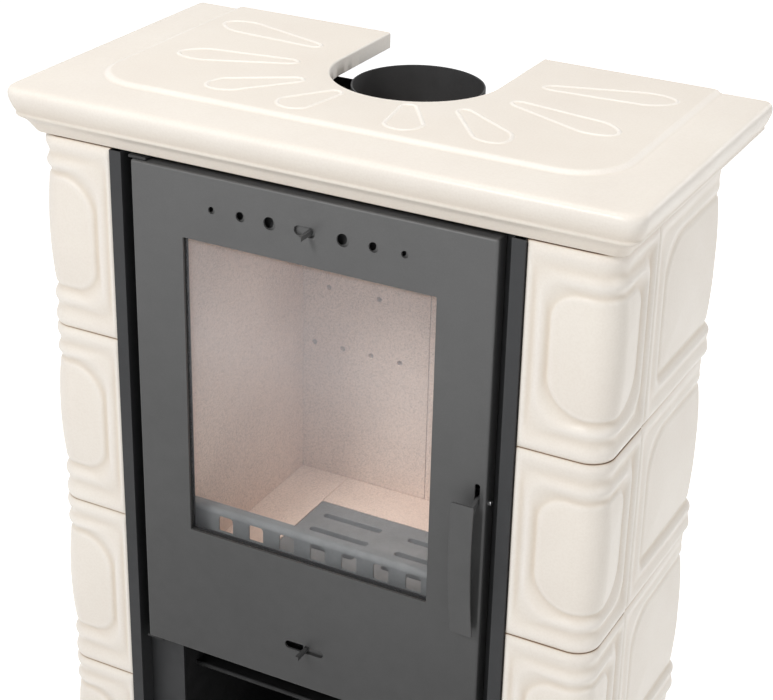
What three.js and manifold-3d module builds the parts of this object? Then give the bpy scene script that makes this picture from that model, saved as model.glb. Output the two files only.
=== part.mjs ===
// A wood stove clad in relief tiles: four rows of glazed tiles round a steel body, a glazed fire door,
// an open log store below it and a thick ceramic top plate with a notch for the flue.
// Millimetres, +Z up. The origin is on the floor, at the centre of the ring of tiles.
// The door looks towards -Y.

import * as THREE from 'three';
import { mergeVertices } from 'three/addons/utils/BufferGeometryUtils.js';
import Module from 'manifold-3d';

const wasm = await Module();
wasm.setup();

// ---------------------------------------------------------------- driving dimensions

// Clearances
const SEAT = 0.3;               // between two pieces that rest on each other
const PIN_PLAY = 0.5;           // radial, between a pin and its hole
const RUN = 0.3;                // between a slide and its guides

// Door and what stands beside it, from the middle outwards
const DOOR_W = 432;
const DOOR_H = 608;
const DOOR_T = 20;
const DOOR_SHEET = 3;
const DOOR_EDGE = 2;            // bevel of the bent edge
const DOOR_SIDE_GAP = 13;
const DOOR_TO_FRAME = 2.5;
const DOOR_PROUD = 3;           // the door stands in front of the tiles
const DOOR_DROP = 5.4;          // the door's top edge below the tile tops
const STRIP_W = 15;
const STRIP_DEPTH = 30;
const STRIP_SHEET = 2;
const STRIP_PROUD = 1.7;        // the strip stands in front of the tiles
const STRIP_RISE = 5;           // the strip's top edge above the door

// Tiles
const ROWS = 4;
const TILE_H = 227.7;
const TILE_JOINT = 0.6;
const TILE_T = 16;
const TILE_FRONT_W = 99.7;      // corner tile, along the front
const TILE_SIDE_W = 103.5;      // corner tile, along the side
const SIDE_TILE_L = 219.9;      // side tile, along the side
const SIDE_TILE_RETURN = 30;    // side tile, along the back
const RING_R = 30;
const ARC_STEPS = 4;            // flat strips round a tile's rounded corner

// Base plate
const BASE_H = 25.7;
const BASE_SHEET = 3;
const BASE_INSET = 4;           // from the tile faces to the base plate's edge
const BASE_REAR = 2;            // the base plate runs out behind the rear shield
const KEEL_W = 40;              // the channel along the middle, which carries the origin
const KEEL_END_GAP = 40;

// Top plate
const PLATE_GAP = 3;            // above the tile tops
const PLATE_H = 52.4;
const PLATE_SLAB = 16;
const PLATE_LIP = 20;           // thickness of the cornice over the tiles, at its foot
const PLATE_REAR = 17;          // behind the rear shield
const PANEL_RISE = 3.5;
const PANEL_SIDE = 34;          // from the tile faces in to the raised panel's side edge
const PANEL_FRONT = 45;         // from the tile faces in to its front edge
const PANEL_SLOPE = 6;
const PANEL_R = 62;
const NOTCH_R = 98;
const CORNICE = [               // overhang in front of the tiles, height above the plate's foot, corner
  [1.6, 0, 14], [3, 2.1, 14], [6, 7.2, 15], [9, 12.3, 15], [14.5, 17.6, 16], [17.4, 20.3, 16],
  [18.4, 23.6, 17], [20.6, 30.2, 18], [24, 42.6, 20], [23.4, 48, 20], [20.6, 51.4, 18], [15, 52.4, 16]
];
const PETAL_BEAD = 5.5;
const PETAL_RISE = 1.5;
const PETAL_W_IN = 19;
const PETAL_W_OUT = 47;
const PETAL_WIDEST = 0.75;      // share of the petal's length
const PETALS = [                // angle from the front, distance of the near and far end from the flue
  [22, 108, 194], [47.5, 127, 240], [74, 134, 279], [100.5, 139, 291]
];

// Flue
const FLUE_FROM_BACK = 119;     // centre of the flue to the top plate's back edge
const COLLAR_R = 75;
const COLLAR_T = 2;
const COLLAR_DROP = 11;         // the collar's rim below the top plate's face
const FLUE_HOLE_R = 71;
const FLUE_SIDES = 40;

// Steel body
const FRAME_T = 4;
const PANEL_T = 2;
const PANEL_FLANGE = 21;        // the side panel's top edge turned out under the plate
const SHIELD_T = 2;
const SHIELD_FLANGE = 28;
const SHIELD_GAP = 1;           // to the rear edge of the side tiles
const SHIELD_BEHIND = 21;       // the shield stands behind the tiles
const VENT_W = 70;
const VENT_H = 7;
const VENT_PITCH_X = 110;
const VENT_PITCH_Z = 22;
const VENT_EDGE = 60;

// Firebox shell
const BOX_T = 4;
const BOX_SIDE_AIR = 21;        // between the side panel and the firebox side
const BOX_REAR_AIR = 17;        // between the firebox back and the rear shield
const BOX_TOP_DROP = 8;         // the firebox top below the door's top edge
const ASH_SPACE = 49.4;         // between the shelf and the grate bed
const BED_T = 4;
const BED_LEDGE = 10;           // the grate rests on this much of its bed

// Lining, grate and what stands in the fire
const BRICK_T = 21.7;
const LINING_SIDE_T = 27.5;
const LINING_BACK_T = 22;
const LINING_PLAY = 0.5;
const LINING_FRONT = 3.5;       // from the front frame to the side lining
const BACK_AIR = 6;             // behind the back lining
const BAFFLE_T = 25;
const BAFFLE_TOP_GAP = 24.7;
const BAFFLE_PLAY = 4;
const BAFFLE_FRONT_GAP = 43;    // smoke passage in front of the baffle
const AIR_HOLE_R = 3.5;
const UPPER_ROW_Z = 248;        // rows of air holes below the door's top edge
const LOWER_ROW_Z = 327;
const UPPER_ROW_X = [70, 140];
const LOWER_ROW_X = [40, 80, 120, 160];
const GRATE_W = 233;
const GRATE_L = 161;
const GRATE_SHIFT = 7.5;        // the grate lies to the right of the middle
const GRATE_FRONT = 45.5;       // from the front frame to the grate
const GRATE_T = 8;
const GRATE_RIM = 8;
const GRATE_PLAY = 0.8;
const GRATE_SLOT = [80, 9];
const GRATE_SLOT_X = 58.5;      // from the grate's middle to a slot's middle
const GRATE_SLOT_PITCH = 35;
const GRATE_SLOT_ROWS = 4;
const RETAINER_T = 2.5;
const RETAINER_H = 85.8;
const RETAINER_FLANGE = 14.5;
const RETAINER_GAP = 1.5;       // to the front frame, and to the lining at each end
const RETAINER_HOLE = [19, 20];
const RETAINER_PITCH = 40.6;
const RETAINER_HOLES = 7;
const RETAINER_HOLE_Z = 71.3;   // height of the holes' centres above the floor bricks

// Ash pan
const PAN_W = 199;
const PAN_L = 208;
const PAN_T = 2;
const PAN_TOP_GAP = 6.7;
const PAN_SETBACK = 5.5;        // behind the front frame
const PAN_GRIP = [40, 12];

// Log store
const STORE_SIDE = 34;          // from the door's side edge to the opening
const STORE_SILL = 20;
const STORE_TOP_GAP = 4;        // below the door
const STORE_LINER_STEP = 4;     // the liner stands this much outside the opening
const STORE_SHEET = 2;
const STORE_ROOF_DROP = 62;
const STORE_ROOF_SETBACK = 30.5;
const STORE_DEPTH = 263;
const HEM_R = 3;

// Fire mouth and seals
const GASKET_INSET_X = 28;      // seal's middle line in from the door's side edges
const GASKET_INSET_Z = 16;
const CHANNEL_W = 16;
const CHANNEL_GROOVE = 13;
const CHANNEL_FLOOR = 2.7;
const CHANNEL_H = 14.7;
const GASKET_W = 11.4;
const MOUTH_LAND = 8;           // from the seal's middle line to the mouth

// Window
const WINDOW_SIDE = 64.5;       // from the door's side edge to the window
const WINDOW_TOP = 75.9;        // below the door's top edge
const WINDOW_H = 363.5;
const GLASS_LAP = 13.5;
const GLASS_T = 4;
const GLASS_SEAL_T = 3.4;
const GLASS_SEAL_SHORT = 2;     // the seal stops this much short of the glass edge
const GLASS_FRAME_LAP = 5;      // beyond the glass
const GLASS_FRAME_T = 2;
const GLASS_FRAME_STEP = 1.5;   // its opening is wider than the window

// Upper air slide
const AIR_Z = 37.7;             // below the door's top edge
const AIR_HOLES = [[43.4, 7.2], [78.8, 5.6], [114.3, 4]];   // distance from the middle, radius
const AIR_SLOT = [-14, 11, 11]; // left end, right end, height
const SLIDE_T = 2;
const SLIDE_H = 22;
const UPPER_SLIDE_HALF = 128;
const UPPER_SLIDE_OFFSET = 4;   // shut by this much at rest
const UPPER_LEVER_X = 4;
const LEVER_W = 4;
const LEVER_H = 5;
const LEVER_REACH = 20;         // in front of the door
const GUIDE_T = 2;
const GUIDE_W = 24;
const GUIDE_LIP = 2;
const UPPER_GUIDE_X = 60;
const AIR_CHANNEL_HALF = 150;
const AIR_CHANNEL_T = 1.5;
const AIR_CHANNEL_GAP = 1.9;    // behind the slide's guides
const AIR_CHANNEL_DROP = 15.5;  // below the holes' middle

// Lower air slide
const LOWER_AIR_Z = 54;         // above the door's bottom edge
const LOWER_SLOT = [-26, 24, 10];
const LOWER_SLIDE = [-4, 60];
const LOWER_LEVER_X = 1;
const LOWER_GUIDE_X = 28;

// Handle and latch
const LATCH_Z = 300;            // the pin below the door's top edge
const LATCH_Y = 10;             // the pin behind the door's front face
const PIN_R = 3;
const LATCH_IN = [12, 8];       // in from the door's right edge
const LATCH_BOSS_R = 6.5;
const HOOK_Y = [12, 18];
const HOOK_H = 8;               // above the pin
const HOOK_CLEAR = 1;           // between hook and striker
const STRIKER_IN = [17, 5];     // in from the door's right edge, like the three below
const STRIKER_T = 3;
const STRIKER_LEG = 26;
const HANDLE_SLOT_IN = [13, 7];
const HANDLE_SLOT_Z = [275.7, 301];
const ARM_H = 14;
const BLADE_IN = [30, 4];
const BLADE_Z = [293, 459];
const BLADE_T = 2.5;
const BLADE_OUT = [20, 21.5, 10];  // its front face in front of the door: top, middle, bottom
const BLADE_STEPS = 10;
const BRACKET_IN = [18, 15];
const BRACKET_ABOVE = 7;
const BRACKET_BELOW = 10;

// Hinges
const HINGE_X = 7;              // in from the door's left edge
const HINGE_Y = 8;              // behind the door's front face
const HINGE_PIN_R = 3.5;
const HINGE_PIN_L = 7.5;
const HINGE_TAB = 3;
const HINGE_TAB_W = 22;
const HINGE_TAB_FRONT = 3;
const HINGE_TOP_GAP = 1;

// ---------------------------------------------------------------- derived levels

const doorHalf = DOOR_W / 2;
const stripIn = doorHalf + DOOR_SIDE_GAP;
const stripOut = stripIn + STRIP_W;
const tileStart = stripOut + SEAT;
const ringHalf = tileStart + TILE_FRONT_W;
const ringDepth = TILE_SIDE_W + TILE_JOINT + SIDE_TILE_L;
const ringFront = -ringDepth / 2;
const ringBack = ringDepth / 2;

const baseTop = BASE_H;
const standing = baseTop + SEAT;
const rowPitch = TILE_H + TILE_JOINT;
const tileTop = standing + ROWS * rowPitch - TILE_JOINT;
const plateFoot = tileTop + PLATE_GAP;
const plateTop = plateFoot + PLATE_H;
const slabUnder = plateTop - PLATE_SLAB;
const panelTop = plateTop + PANEL_RISE;
const doorTop = tileTop - DOOR_DROP;
const doorBottom = doorTop - DOOR_H;
const stripTop = doorTop + STRIP_RISE;

const doorFront = ringFront - DOOR_PROUD;
const doorBack = doorFront + DOOR_T;
const sheetBack = doorFront + DOOR_SHEET;
const frameFront = doorBack + DOOR_TO_FRAME;
const frameBack = frameFront + FRAME_T;
const behindFrame = frameBack + SEAT;
const stripFront = ringFront - STRIP_PROUD;
const stripBack = stripFront + STRIP_DEPTH;
const shieldIn = ringBack + SHIELD_BEHIND;
const shieldOut = shieldIn + SHIELD_T;
const plateBack = shieldOut + PLATE_REAR;
const flueY = plateBack - FLUE_FROM_BACK;
const shieldHalf = ringHalf - RING_R - SIDE_TILE_RETURN - SHIELD_GAP;

const windowHalf = doorHalf - WINDOW_SIDE;
const storeHalf = doorHalf - STORE_SIDE;
const gasketHalf = doorHalf - GASKET_INSET_X;
const gasketTop = doorTop - GASKET_INSET_Z;
const gasketBottom = doorBottom + GASKET_INSET_Z;
const mouthHalf = gasketHalf - MOUTH_LAND;
const mouthTop = gasketTop - MOUTH_LAND;
const mouthBottom = gasketBottom + MOUTH_LAND;

const shelfTop = mouthBottom;
const shelfUnder = shelfTop - BOX_T;
const boxTop = doorTop - BOX_TOP_DROP;
const boxCeiling = boxTop - BOX_T;
const boxHalf = stripIn - BOX_SIDE_AIR;
const boxIn = boxHalf - BOX_T;
const boxBack = shieldIn - BOX_REAR_AIR;
const boxBackIn = boxBack - BOX_T;
const bedUnder = shelfTop + ASH_SPACE;
const bedTop = bedUnder + BED_T;
const brickFoot = bedTop + SEAT;
const fireFloor = brickFoot + BRICK_T;
const liningFoot = fireFloor + SEAT;
const baffleTop = boxCeiling - BAFFLE_TOP_GAP;
const baffleUnder = baffleTop - BAFFLE_T;
const liningTop = baffleUnder - SEAT;
const liningOut = boxIn - LINING_PLAY;
const liningIn = liningOut - LINING_SIDE_T;
const backLiningRear = boxBackIn - BACK_AIR;
const backLiningFace = backLiningRear - LINING_BACK_T;

const grateX = [GRATE_SHIFT - GRATE_W / 2, GRATE_SHIFT + GRATE_W / 2];
const grateY = [frameBack + GRATE_FRONT, frameBack + GRATE_FRONT + GRATE_L];

const airZ = doorTop - AIR_Z;
const lowerAirZ = doorBottom + LOWER_AIR_Z;
const slideY = [sheetBack + SEAT + 0.2, sheetBack + SEAT + 0.2 + SLIDE_T];
const latchY = doorFront + LATCH_Y;
const latchZ = doorTop - LATCH_Z;
const fromRightEdge = (insets) => insets.map((inset) => doorHalf - inset);
const latchX = fromRightEdge(LATCH_IN);
const strikerX = fromRightEdge(STRIKER_IN);
const handleSlotX = fromRightEdge(HANDLE_SLOT_IN);
const bladeX = fromRightEdge(BLADE_IN);
const bracketX = fromRightEdge(BRACKET_IN);
const hingeX = -doorHalf + HINGE_X;
const hingeY = doorFront + HINGE_Y;

// ---------------------------------------------------------------- outlines and solids

const ROUND = 24;
const SMALL_ROUND = 14;
const SLOT_FLAT = 0.01;         // half of the flat left at a slot's round end

const point = (u, v) => new THREE.Vector2(u, v);

function rectangle([u0, u1], [v0, v1]) {
  return [point(u0, v0), point(u1, v0), point(u1, v1), point(u0, v1)];
}

function circle(u, v, radius, sides = ROUND) {
  return Array.from({ length: sides }, (_, i) => {
    const angle = 2 * Math.PI * (i + 0.5) / sides;
    return point(u + radius * Math.cos(angle), v + radius * Math.sin(angle));
  });
}

// A rectangle whose corners have one radius, with the given number of steps round each.
function roundedRectangle([u0, u1], [v0, v1], radius, steps = 4) {
  const centres = [[u1 - radius, v1 - radius], [u0 + radius, v1 - radius],
    [u0 + radius, v0 + radius], [u1 - radius, v0 + radius]];
  return centres.flatMap(([u, v], quarter) => Array.from({ length: steps + 1 }, (_, i) => {
    const angle = Math.PI / 2 * (quarter + i / steps);
    return point(u + radius * Math.cos(angle), v + radius * Math.sin(angle));
  }));
}

// A slot with round ends, lying along u.
function slot([u0, u1], v, height) {
  return roundedRectangle([u0, u1], [v - height / 2, v + height / 2], height / 2 - SLOT_FLAT);
}

const AXIS_FRAMES = {
  x: [[0, 1, 0], [0, 0, 1], [1, 0, 0]],     // outline in (y, z)
  y: [[1, 0, 0], [0, 0, 1], [0, -1, 0]],    // outline in (x, z)
  z: [[1, 0, 0], [0, 1, 0], [0, 0, 1]]      // outline in (x, y)
};

// Extrudes an outline along an axis, from one coordinate on that axis to another.
function prism(axis, outline, [from, to]) {
  const geometry = new THREE.ExtrudeGeometry(new THREE.Shape(outline), { depth: to - from, bevelEnabled: false });
  geometry.translate(0, 0, axis === 'y' ? -to : from);
  const [u, v, w] = AXIS_FRAMES[axis].map((column) => new THREE.Vector3(...column));
  return geometry.applyMatrix4(new THREE.Matrix4().makeBasis(u, v, w));
}

function block([x0, x1], [y0, y1], [z0, z1]) {
  const geometry = new THREE.BoxGeometry(x1 - x0, y1 - y0, z1 - z0);
  return geometry.translate((x0 + x1) / 2, (y0 + y1) / 2, (z0 + z1) / 2);
}

// Turns a geometry inside out if its faces point inwards.
function faceOut(geometry) {
  const { position } = geometry.attributes;
  const index = geometry.index.array;
  const [a, b, c] = [new THREE.Vector3(), new THREE.Vector3(), new THREE.Vector3()];
  let volume = 0;
  for (let i = 0; i < index.length; i += 3) {
    a.fromBufferAttribute(position, index[i]);
    b.fromBufferAttribute(position, index[i + 1]);
    c.fromBufferAttribute(position, index[i + 2]);
    volume += a.dot(b.cross(c));
  }
  if (volume < 0) {
    for (let i = 0; i < index.length; i += 3) {
      [index[i + 1], index[i + 2]] = [index[i + 2], index[i + 1]];
    }
  }
  geometry.computeVertexNormals();
  return geometry;
}

function indexed(points, triangles) {
  const geometry = new THREE.BufferGeometry();
  geometry.setAttribute('position', new THREE.Float32BufferAttribute(points.flat(), 3));
  geometry.setIndex(triangles);
  return faceOut(geometry);
}

// Joins rings of equal length, each a list of [x, y, z]. Convex end caps, or the last ring joins the first.
function loft(rings, closed = false) {
  const count = rings[0].length;
  const triangles = [];
  const bands = closed ? rings.length : rings.length - 1;
  for (let band = 0; band < bands; band += 1) {
    const near = band * count;
    const far = ((band + 1) % rings.length) * count;
    for (let i = 0; i < count; i += 1) {
      const next = (i + 1) % count;
      triangles.push(near + i, near + next, far + next, near + i, far + next, far + i);
    }
  }
  if (!closed) {
    const last = (rings.length - 1) * count;
    for (let i = 1; i < count - 1; i += 1) {
      triangles.push(0, i + 1, i, last, last + i, last + i + 1);
    }
  }
  return indexed(rings.flat(), triangles);
}

function toSolid(geometry) {
  const bare = geometry.clone();
  bare.deleteAttribute('normal');
  bare.deleteAttribute('uv');
  const merged = mergeVertices(bare, 1e-4);
  return new wasm.Manifold(new wasm.Mesh({
    numProp: 3,
    vertProperties: merged.attributes.position.array,
    triVerts: new Uint32Array(merged.index.array)
  }));
}

function toGeometry(solid) {
  const mesh = solid.getMesh();
  const geometry = new THREE.BufferGeometry();
  geometry.setAttribute('position', new THREE.Float32BufferAttribute(mesh.vertProperties, 3));
  geometry.setIndex(new THREE.Uint32BufferAttribute(mesh.triVerts, 1));
  geometry.computeVertexNormals();
  return geometry;
}

function join(...pieces) {
  return toGeometry(pieces.map(toSolid).reduce((whole, piece) => whole.add(piece)));
}

function cut(base, ...tools) {
  return toGeometry(tools.map(toSolid).reduce((rest, tool) => rest.subtract(tool), toSolid(base)));
}

// ---------------------------------------------------------------- materials and the scene group

const stove = new THREE.Group();
stove.name = 'tiled_stove';

const FINISHES = {
  ceramic: { color: 0xece3d8, roughness: 0.22, metalness: 0 },
  door: { color: 0x5c5c5c, roughness: 0.55, metalness: 0.3 },
  strip: { color: 0x3c3d3f, roughness: 0.6, metalness: 0.3 },
  steel: { color: 0x242424, roughness: 0.7, metalness: 0.3 },
  lining: { color: 0xbda795, roughness: 0.95, metalness: 0 },
  iron: { color: 0x838888, roughness: 0.7, metalness: 0.4 },
  galvanised: { color: 0x9a9d9f, roughness: 0.45, metalness: 0.8 },
  glass: { color: 0xd8e0dc, roughness: 0.05, metalness: 0, transparent: true, opacity: 0.3 },
  rope: { color: 0x2a2a2a, roughness: 1, metalness: 0 },
  pin: { color: 0xa8a8a8, roughness: 0.35, metalness: 0.9 }
};

function add(name, geometry, finish) {
  const mesh = new THREE.Mesh(geometry, new THREE.MeshStandardMaterial(FINISHES[finish]));
  mesh.name = name;
  stove.add(mesh);
}

const SIDES = [['left', -1], ['right', 1]];

// A pair of x or other limits, mirrored for the left side and put in rising order.
const mirrored = (side, [from, to]) => (side > 0 ? [from, to] : [-to, -from]);

// ---------------------------------------------------------------- tiles

// Rings of a tile's relief, from its edge inwards. Margins from its front, rear, top and bottom edge;
// corner radii and heights at the front top, rear top, rear bottom and front bottom. Heights are over
// the ring's face.
const CORNER_RELIEF = [
  { margins: [0, 0, 0, 0], radii: [3, 3, 3, 3], heights: [-2.6, -3, -3.5, -3] },
  { margins: [4, 5, 8, 9], radii: [6, 6, 6, 6], heights: [-0.4, -0.4, 0, 0] },
  { margins: [9, 14, 23, 22], radii: [14, 12, 16, 18], heights: [-1.4, -4.4, -4.2, -1.2] },
  { margins: [16, 23, 33, 32], radii: [22, 16, 30, 34], heights: [-0.7, -0.8, -0.5, -0.4] },
  { margins: [25, 33, 46, 43], radii: [30, 20, 42, 44], heights: [-3.8, -4.4, -4.4, -4] },
  { margins: [31, 39, 53, 50], radii: [26, 18, 38, 40], heights: [-1.6, -1.8, -1.8, -1.6] },
  { margins: [45, 53, 75, 72], radii: [18, 14, 26, 28], heights: [0.2, 0.2, 0.2, 0.2] }
];
const SIDE_RELIEF = [
  { margins: [0, 0, 0, 0], radii: [3, 3, 3, 3], heights: [-4, -7.5, -5, -4] },
  { margins: [6, 5, 8, 9], radii: [6, 6, 6, 6], heights: [-1.5, -7.3, 0, -0.5] },
  { margins: [16, 12, 18, 22], radii: [18, 14, 16, 12], heights: [-4, -7.3, -1.8, -2.5] },
  { margins: [27, 18, 26, 31], radii: [36, 20, 26, 12], heights: [-2.5, -7.3, 0, -0.6] },
  { margins: [39, 24, 35, 41], radii: [50, 26, 34, 12], heights: [-5.5, -7.8, -6, -5.2] },
  { margins: [46, 29, 42, 48], radii: [44, 24, 30, 12], heights: [-3.6, -6, -4.6, -3.6] },
  { margins: [64, 40, 62, 68], radii: [30, 16, 20, 10], heights: [-2.2, -4.2, -3.6, -2.6] }
];
const CREST = 1.4;              // the panel's middle rises this much over its innermost ring
const CORNER_ANGLES = [0, 0.5, 1];

// Paths run along the tile faces: a straight run, a quarter round the ring's corner, a straight run.
const cornerPath = {
  runIn: TILE_FRONT_W - RING_R,
  length: TILE_FRONT_W + TILE_SIDE_W - 2 * RING_R + RING_R * Math.PI / 2,
  start: -Math.PI / 2,
  centre: [ringHalf - RING_R, ringFront + RING_R]
};
const sidePath = {
  runIn: SIDE_TILE_L - RING_R,
  length: SIDE_TILE_L - RING_R + RING_R * Math.PI / 2 + SIDE_TILE_RETURN,
  start: 0,
  centre: [ringHalf - RING_R, ringBack - RING_R]
};

// The point at distance s along a path, raised along the outward normal, at height z.
function onPath(path, s, raised, z) {
  const turned = Math.min(Math.max((s - path.runIn) / RING_R, 0), Math.PI / 2);
  const angle = path.start + turned;
  const run = s - path.runIn - RING_R * turned;
  const [cx, cy] = path.centre;
  return [
    cx + (RING_R + raised) * Math.cos(angle) - run * Math.sin(angle),
    cy + (RING_R + raised) * Math.sin(angle) + run * Math.cos(angle),
    z
  ];
}

// Keeps the columns of the rounded corner between two limits, at least one millimetre apart.
function columnsBetween(path, low, high) {
  return Array.from({ length: ARC_STEPS + 1 }, (_, i) => {
    const s = path.runIn + RING_R * Math.PI / 2 * i / ARC_STEPS;
    return Math.min(Math.max(s, low + i + 1), high - (ARC_STEPS - i) - 1);
  });
}

// One ring of a tile: points [s, z] along its top, its rear edge, its bottom and its front edge.
function tileRing(path, { margins, radii }) {
  const [front, rear, top, bottom] = margins;
  const [frontTop, rearTop, rearBottom, frontBottom] = radii;
  const s0 = front;
  const s1 = path.length - rear;
  const z0 = bottom;
  const z1 = TILE_H - top;
  const arc = (s, z, radius, fromAngle) => CORNER_ANGLES.map((share) => {
    const angle = fromAngle - share * Math.PI / 2;
    return [s + radius * Math.cos(angle), z + radius * Math.sin(angle)];
  });
  const [a0, a1, a2] = arc(s0 + frontTop, z1 - frontTop, frontTop, Math.PI);
  const [b0, b1, b2] = arc(s1 - rearTop, z1 - rearTop, rearTop, Math.PI / 2);
  const [c0, c1, c2] = arc(s1 - rearBottom, z0 + rearBottom, rearBottom, 0);
  const [d0, d1, d2] = arc(s0 + frontBottom, z0 + frontBottom, frontBottom, -Math.PI / 2);
  return {
    top: [a1, a2, ...columnsBetween(path, a2[0], b0[0]).map((s) => [s, z1]), b0, b1],
    rear: [b2, c0],
    bottom: [c1, c2, ...columnsBetween(path, d0[0], c2[0]).map((s) => [s, z0]).reverse(), d0, d1],
    front: [d2, a0]
  };
}

// A ring's height at a place on the tile, as shares of its length and height.
function ringHeight([frontTop, rearTop, rearBottom, frontBottom], along, up) {
  const top = frontTop + (rearTop - frontTop) * along;
  const bottom = frontBottom + (rearBottom - frontBottom) * along;
  return bottom + (top - bottom) * up;
}

// A tile standing on foot: its relief in front and a flat back. The left tiles are the right ones
// turned upside down.
function tile(path, relief, side, foot) {
  const rings = relief.map((ring) => ({ ...tileRing(path, ring), heights: ring.heights }));
  rings.unshift({ ...rings[0], heights: Array(4).fill(-TILE_T) });
  const points = [];
  const triangles = [];
  const place = (s, z, heights, rise = 0) => {
    const raised = ringHeight(heights, s / path.length, z / TILE_H) + rise;
    const [x, y, height] = onPath(path, s, raised, foot + (side < 0 ? TILE_H - z : z));
    points.push([side * x, y, height]);
    return points.length - 1;
  };
  const placed = rings.map(({ heights, ...edges }) => Object.fromEntries(
    Object.entries(edges).map(([edge, list]) => [edge, list.map(([s, z]) => place(s, z, heights))])));
  const around = placed.map(({ top, rear, bottom, front }) => [...top, ...rear, ...bottom, ...front]);
  for (let ring = 0; ring < around.length - 1; ring += 1) {
    const near = around[ring];
    const far = around[ring + 1];
    near.forEach((_, i) => {
      const next = (i + 1) % near.length;
      triangles.push(near[i], near[next], far[next], near[i], far[next], far[i]);
    });
  }
  // Closes a ring with one middle point between each point of its top and the one below it.
  const close = (ring, indices, rise, turn) => {
    const { top, bottom, rear, front } = indices;
    const below = [...bottom].reverse();
    const belowPlaces = [...ring.bottom].reverse();
    const middle = ring.top.map(([s, z], i) => {
      const edge = i === 0 || i === ring.top.length - 1;
      const [sBelow, zBelow] = belowPlaces[i];
      return place((s + sBelow) / 2, (z + zBelow) / 2, ring.heights, edge ? rise / 2 : rise);
    });
    const face = (a, b, c) => triangles.push(...(turn ? [a, c, b] : [a, b, c]));
    for (let i = 0; i < top.length - 1; i += 1) {
      face(top[i], top[i + 1], middle[i + 1]);
      face(top[i], middle[i + 1], middle[i]);
      face(middle[i], middle[i + 1], below[i + 1]);
      face(middle[i], below[i + 1], below[i]);
    }
    const ends = [[top[top.length - 1], ...rear, below[below.length - 1], middle[middle.length - 1]],
      [below[0], ...front, top[0], middle[0]]];
    ends.forEach(([first, second, third, last, centre]) => {
      face(first, second, centre);
      face(second, third, centre);
      face(third, last, centre);
    });
  };
  close(rings[0], placed[0], 0, true);
  close(rings[rings.length - 1], placed[placed.length - 1], CREST, false);
  return indexed(points, triangles);
}

function addTiles() {
  for (const [name, side] of SIDES) {
    for (let row = 1; row <= ROWS; row += 1) {
      const foot = standing + (row - 1) * rowPitch;
      add(`corner_tile_${name}_${row}`, tile(cornerPath, CORNER_RELIEF, side, foot), 'ceramic');
      add(`side_tile_${name}_${row}`, tile(sidePath, SIDE_RELIEF, side, foot), 'ceramic');
    }
  }
}

// ---------------------------------------------------------------- top plate

// An outline open towards the back: straight back edge, two rounded front corners.
function plateRing(half, front, radius, z, steps = 4) {
  const corner = (side, from) => Array.from({ length: steps + 1 }, (_, i) => {
    const angle = from + Math.PI / 2 * i / steps;
    return [side * (half - radius) + radius * Math.cos(angle), front + radius + radius * Math.sin(angle), z];
  });
  return [[-half, plateBack, z], ...corner(-1, Math.PI), ...corner(1, 1.5 * Math.PI), [half, plateBack, z]];
}

// A petal's half width at a share of its length: a taper with a round tip at each end.
function petalHalfWidth(share) {
  const tipShare = 0.1;
  const body = PETAL_W_IN + (PETAL_W_OUT - PETAL_W_IN) * Math.min(share / PETAL_WIDEST, 1);
  const nearTip = share < tipShare ? (tipShare - share) / tipShare : 0;
  const farTip = share > PETAL_WIDEST ? (share - PETAL_WIDEST) / (1 - PETAL_WIDEST) : 0;
  return body / 2 * Math.sqrt(Math.max(1 - nearTip ** 2 - farTip ** 2, 0));
}

// The bead round a petal: a low ridge of triangular section on the raised panel.
function petalBead(angle, near, far) {
  const shares = [0, 0.03, 0.1, 0.4, PETAL_WIDEST, 0.88, 0.97, 1];
  const middle = (near + far) / 2;
  const ringAt = (inset, z) => {
    const length = far - near - 2 * inset;
    const side = (share, hand) => {
      const along = middle + (share - 0.5) * length;
      const across = hand * Math.max(petalHalfWidth(share) - inset, 0);
      return [
        along * Math.sin(angle) + across * Math.cos(angle),
        flueY - along * Math.cos(angle) + across * Math.sin(angle),
        z
      ];
    };
    const out = shares.map((share) => side(share, 1));
    const back = shares.slice(1, -1).reverse().map((share) => side(share, -1));
    return [...out, ...back];
  };
  const foot = panelTop - 1;
  const crest = panelTop + PETAL_RISE;
  return loft([ringAt(0, foot), ringAt(PETAL_BEAD / 2, crest), ringAt(PETAL_BEAD, foot)], true);
}

function topPlate() {
  const body = loft(CORNICE.map(([out, up, radius]) =>
    plateRing(ringHalf + out, ringFront - out, radius, plateFoot + up)));
  const panelRing = (inset, z) => plateRing(
    ringHalf - PANEL_SIDE - inset + PANEL_SLOPE / 2, ringFront + PANEL_FRONT + inset - PANEL_SLOPE / 2,
    PANEL_R - inset, z, 6);
  const panel = loft([panelRing(-0.5, plateTop - 1), panelRing(0, plateTop + 0.2),
    panelRing(PANEL_SLOPE * 0.5, plateTop + PANEL_RISE * 0.7), panelRing(PANEL_SLOPE, panelTop)]);
  const beads = PETALS.flatMap(([degrees, near, far]) => [-1, 1].map((side) =>
    petalBead(side * THREE.MathUtils.degToRad(degrees), near, far)));
  const lipHalf = ringHalf - PLATE_LIP;
  const lipFront = ringFront + PLATE_LIP;
  const hollow = block([-lipHalf, lipHalf], [lipFront, plateBack + 1], [plateFoot - 1, slabUnder]);
  const through = [plateFoot - 1, panelTop + PETAL_RISE + 1];
  const notchRound = prism('z', circle(0, flueY, NOTCH_R, FLUE_SIDES), through);
  const notchRun = block([-NOTCH_R, NOTCH_R], [flueY, plateBack + 1], through);
  return cut(join(body, panel, ...beads), hollow, notchRound, notchRun);
}

// ---------------------------------------------------------------- base and body panels

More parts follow.
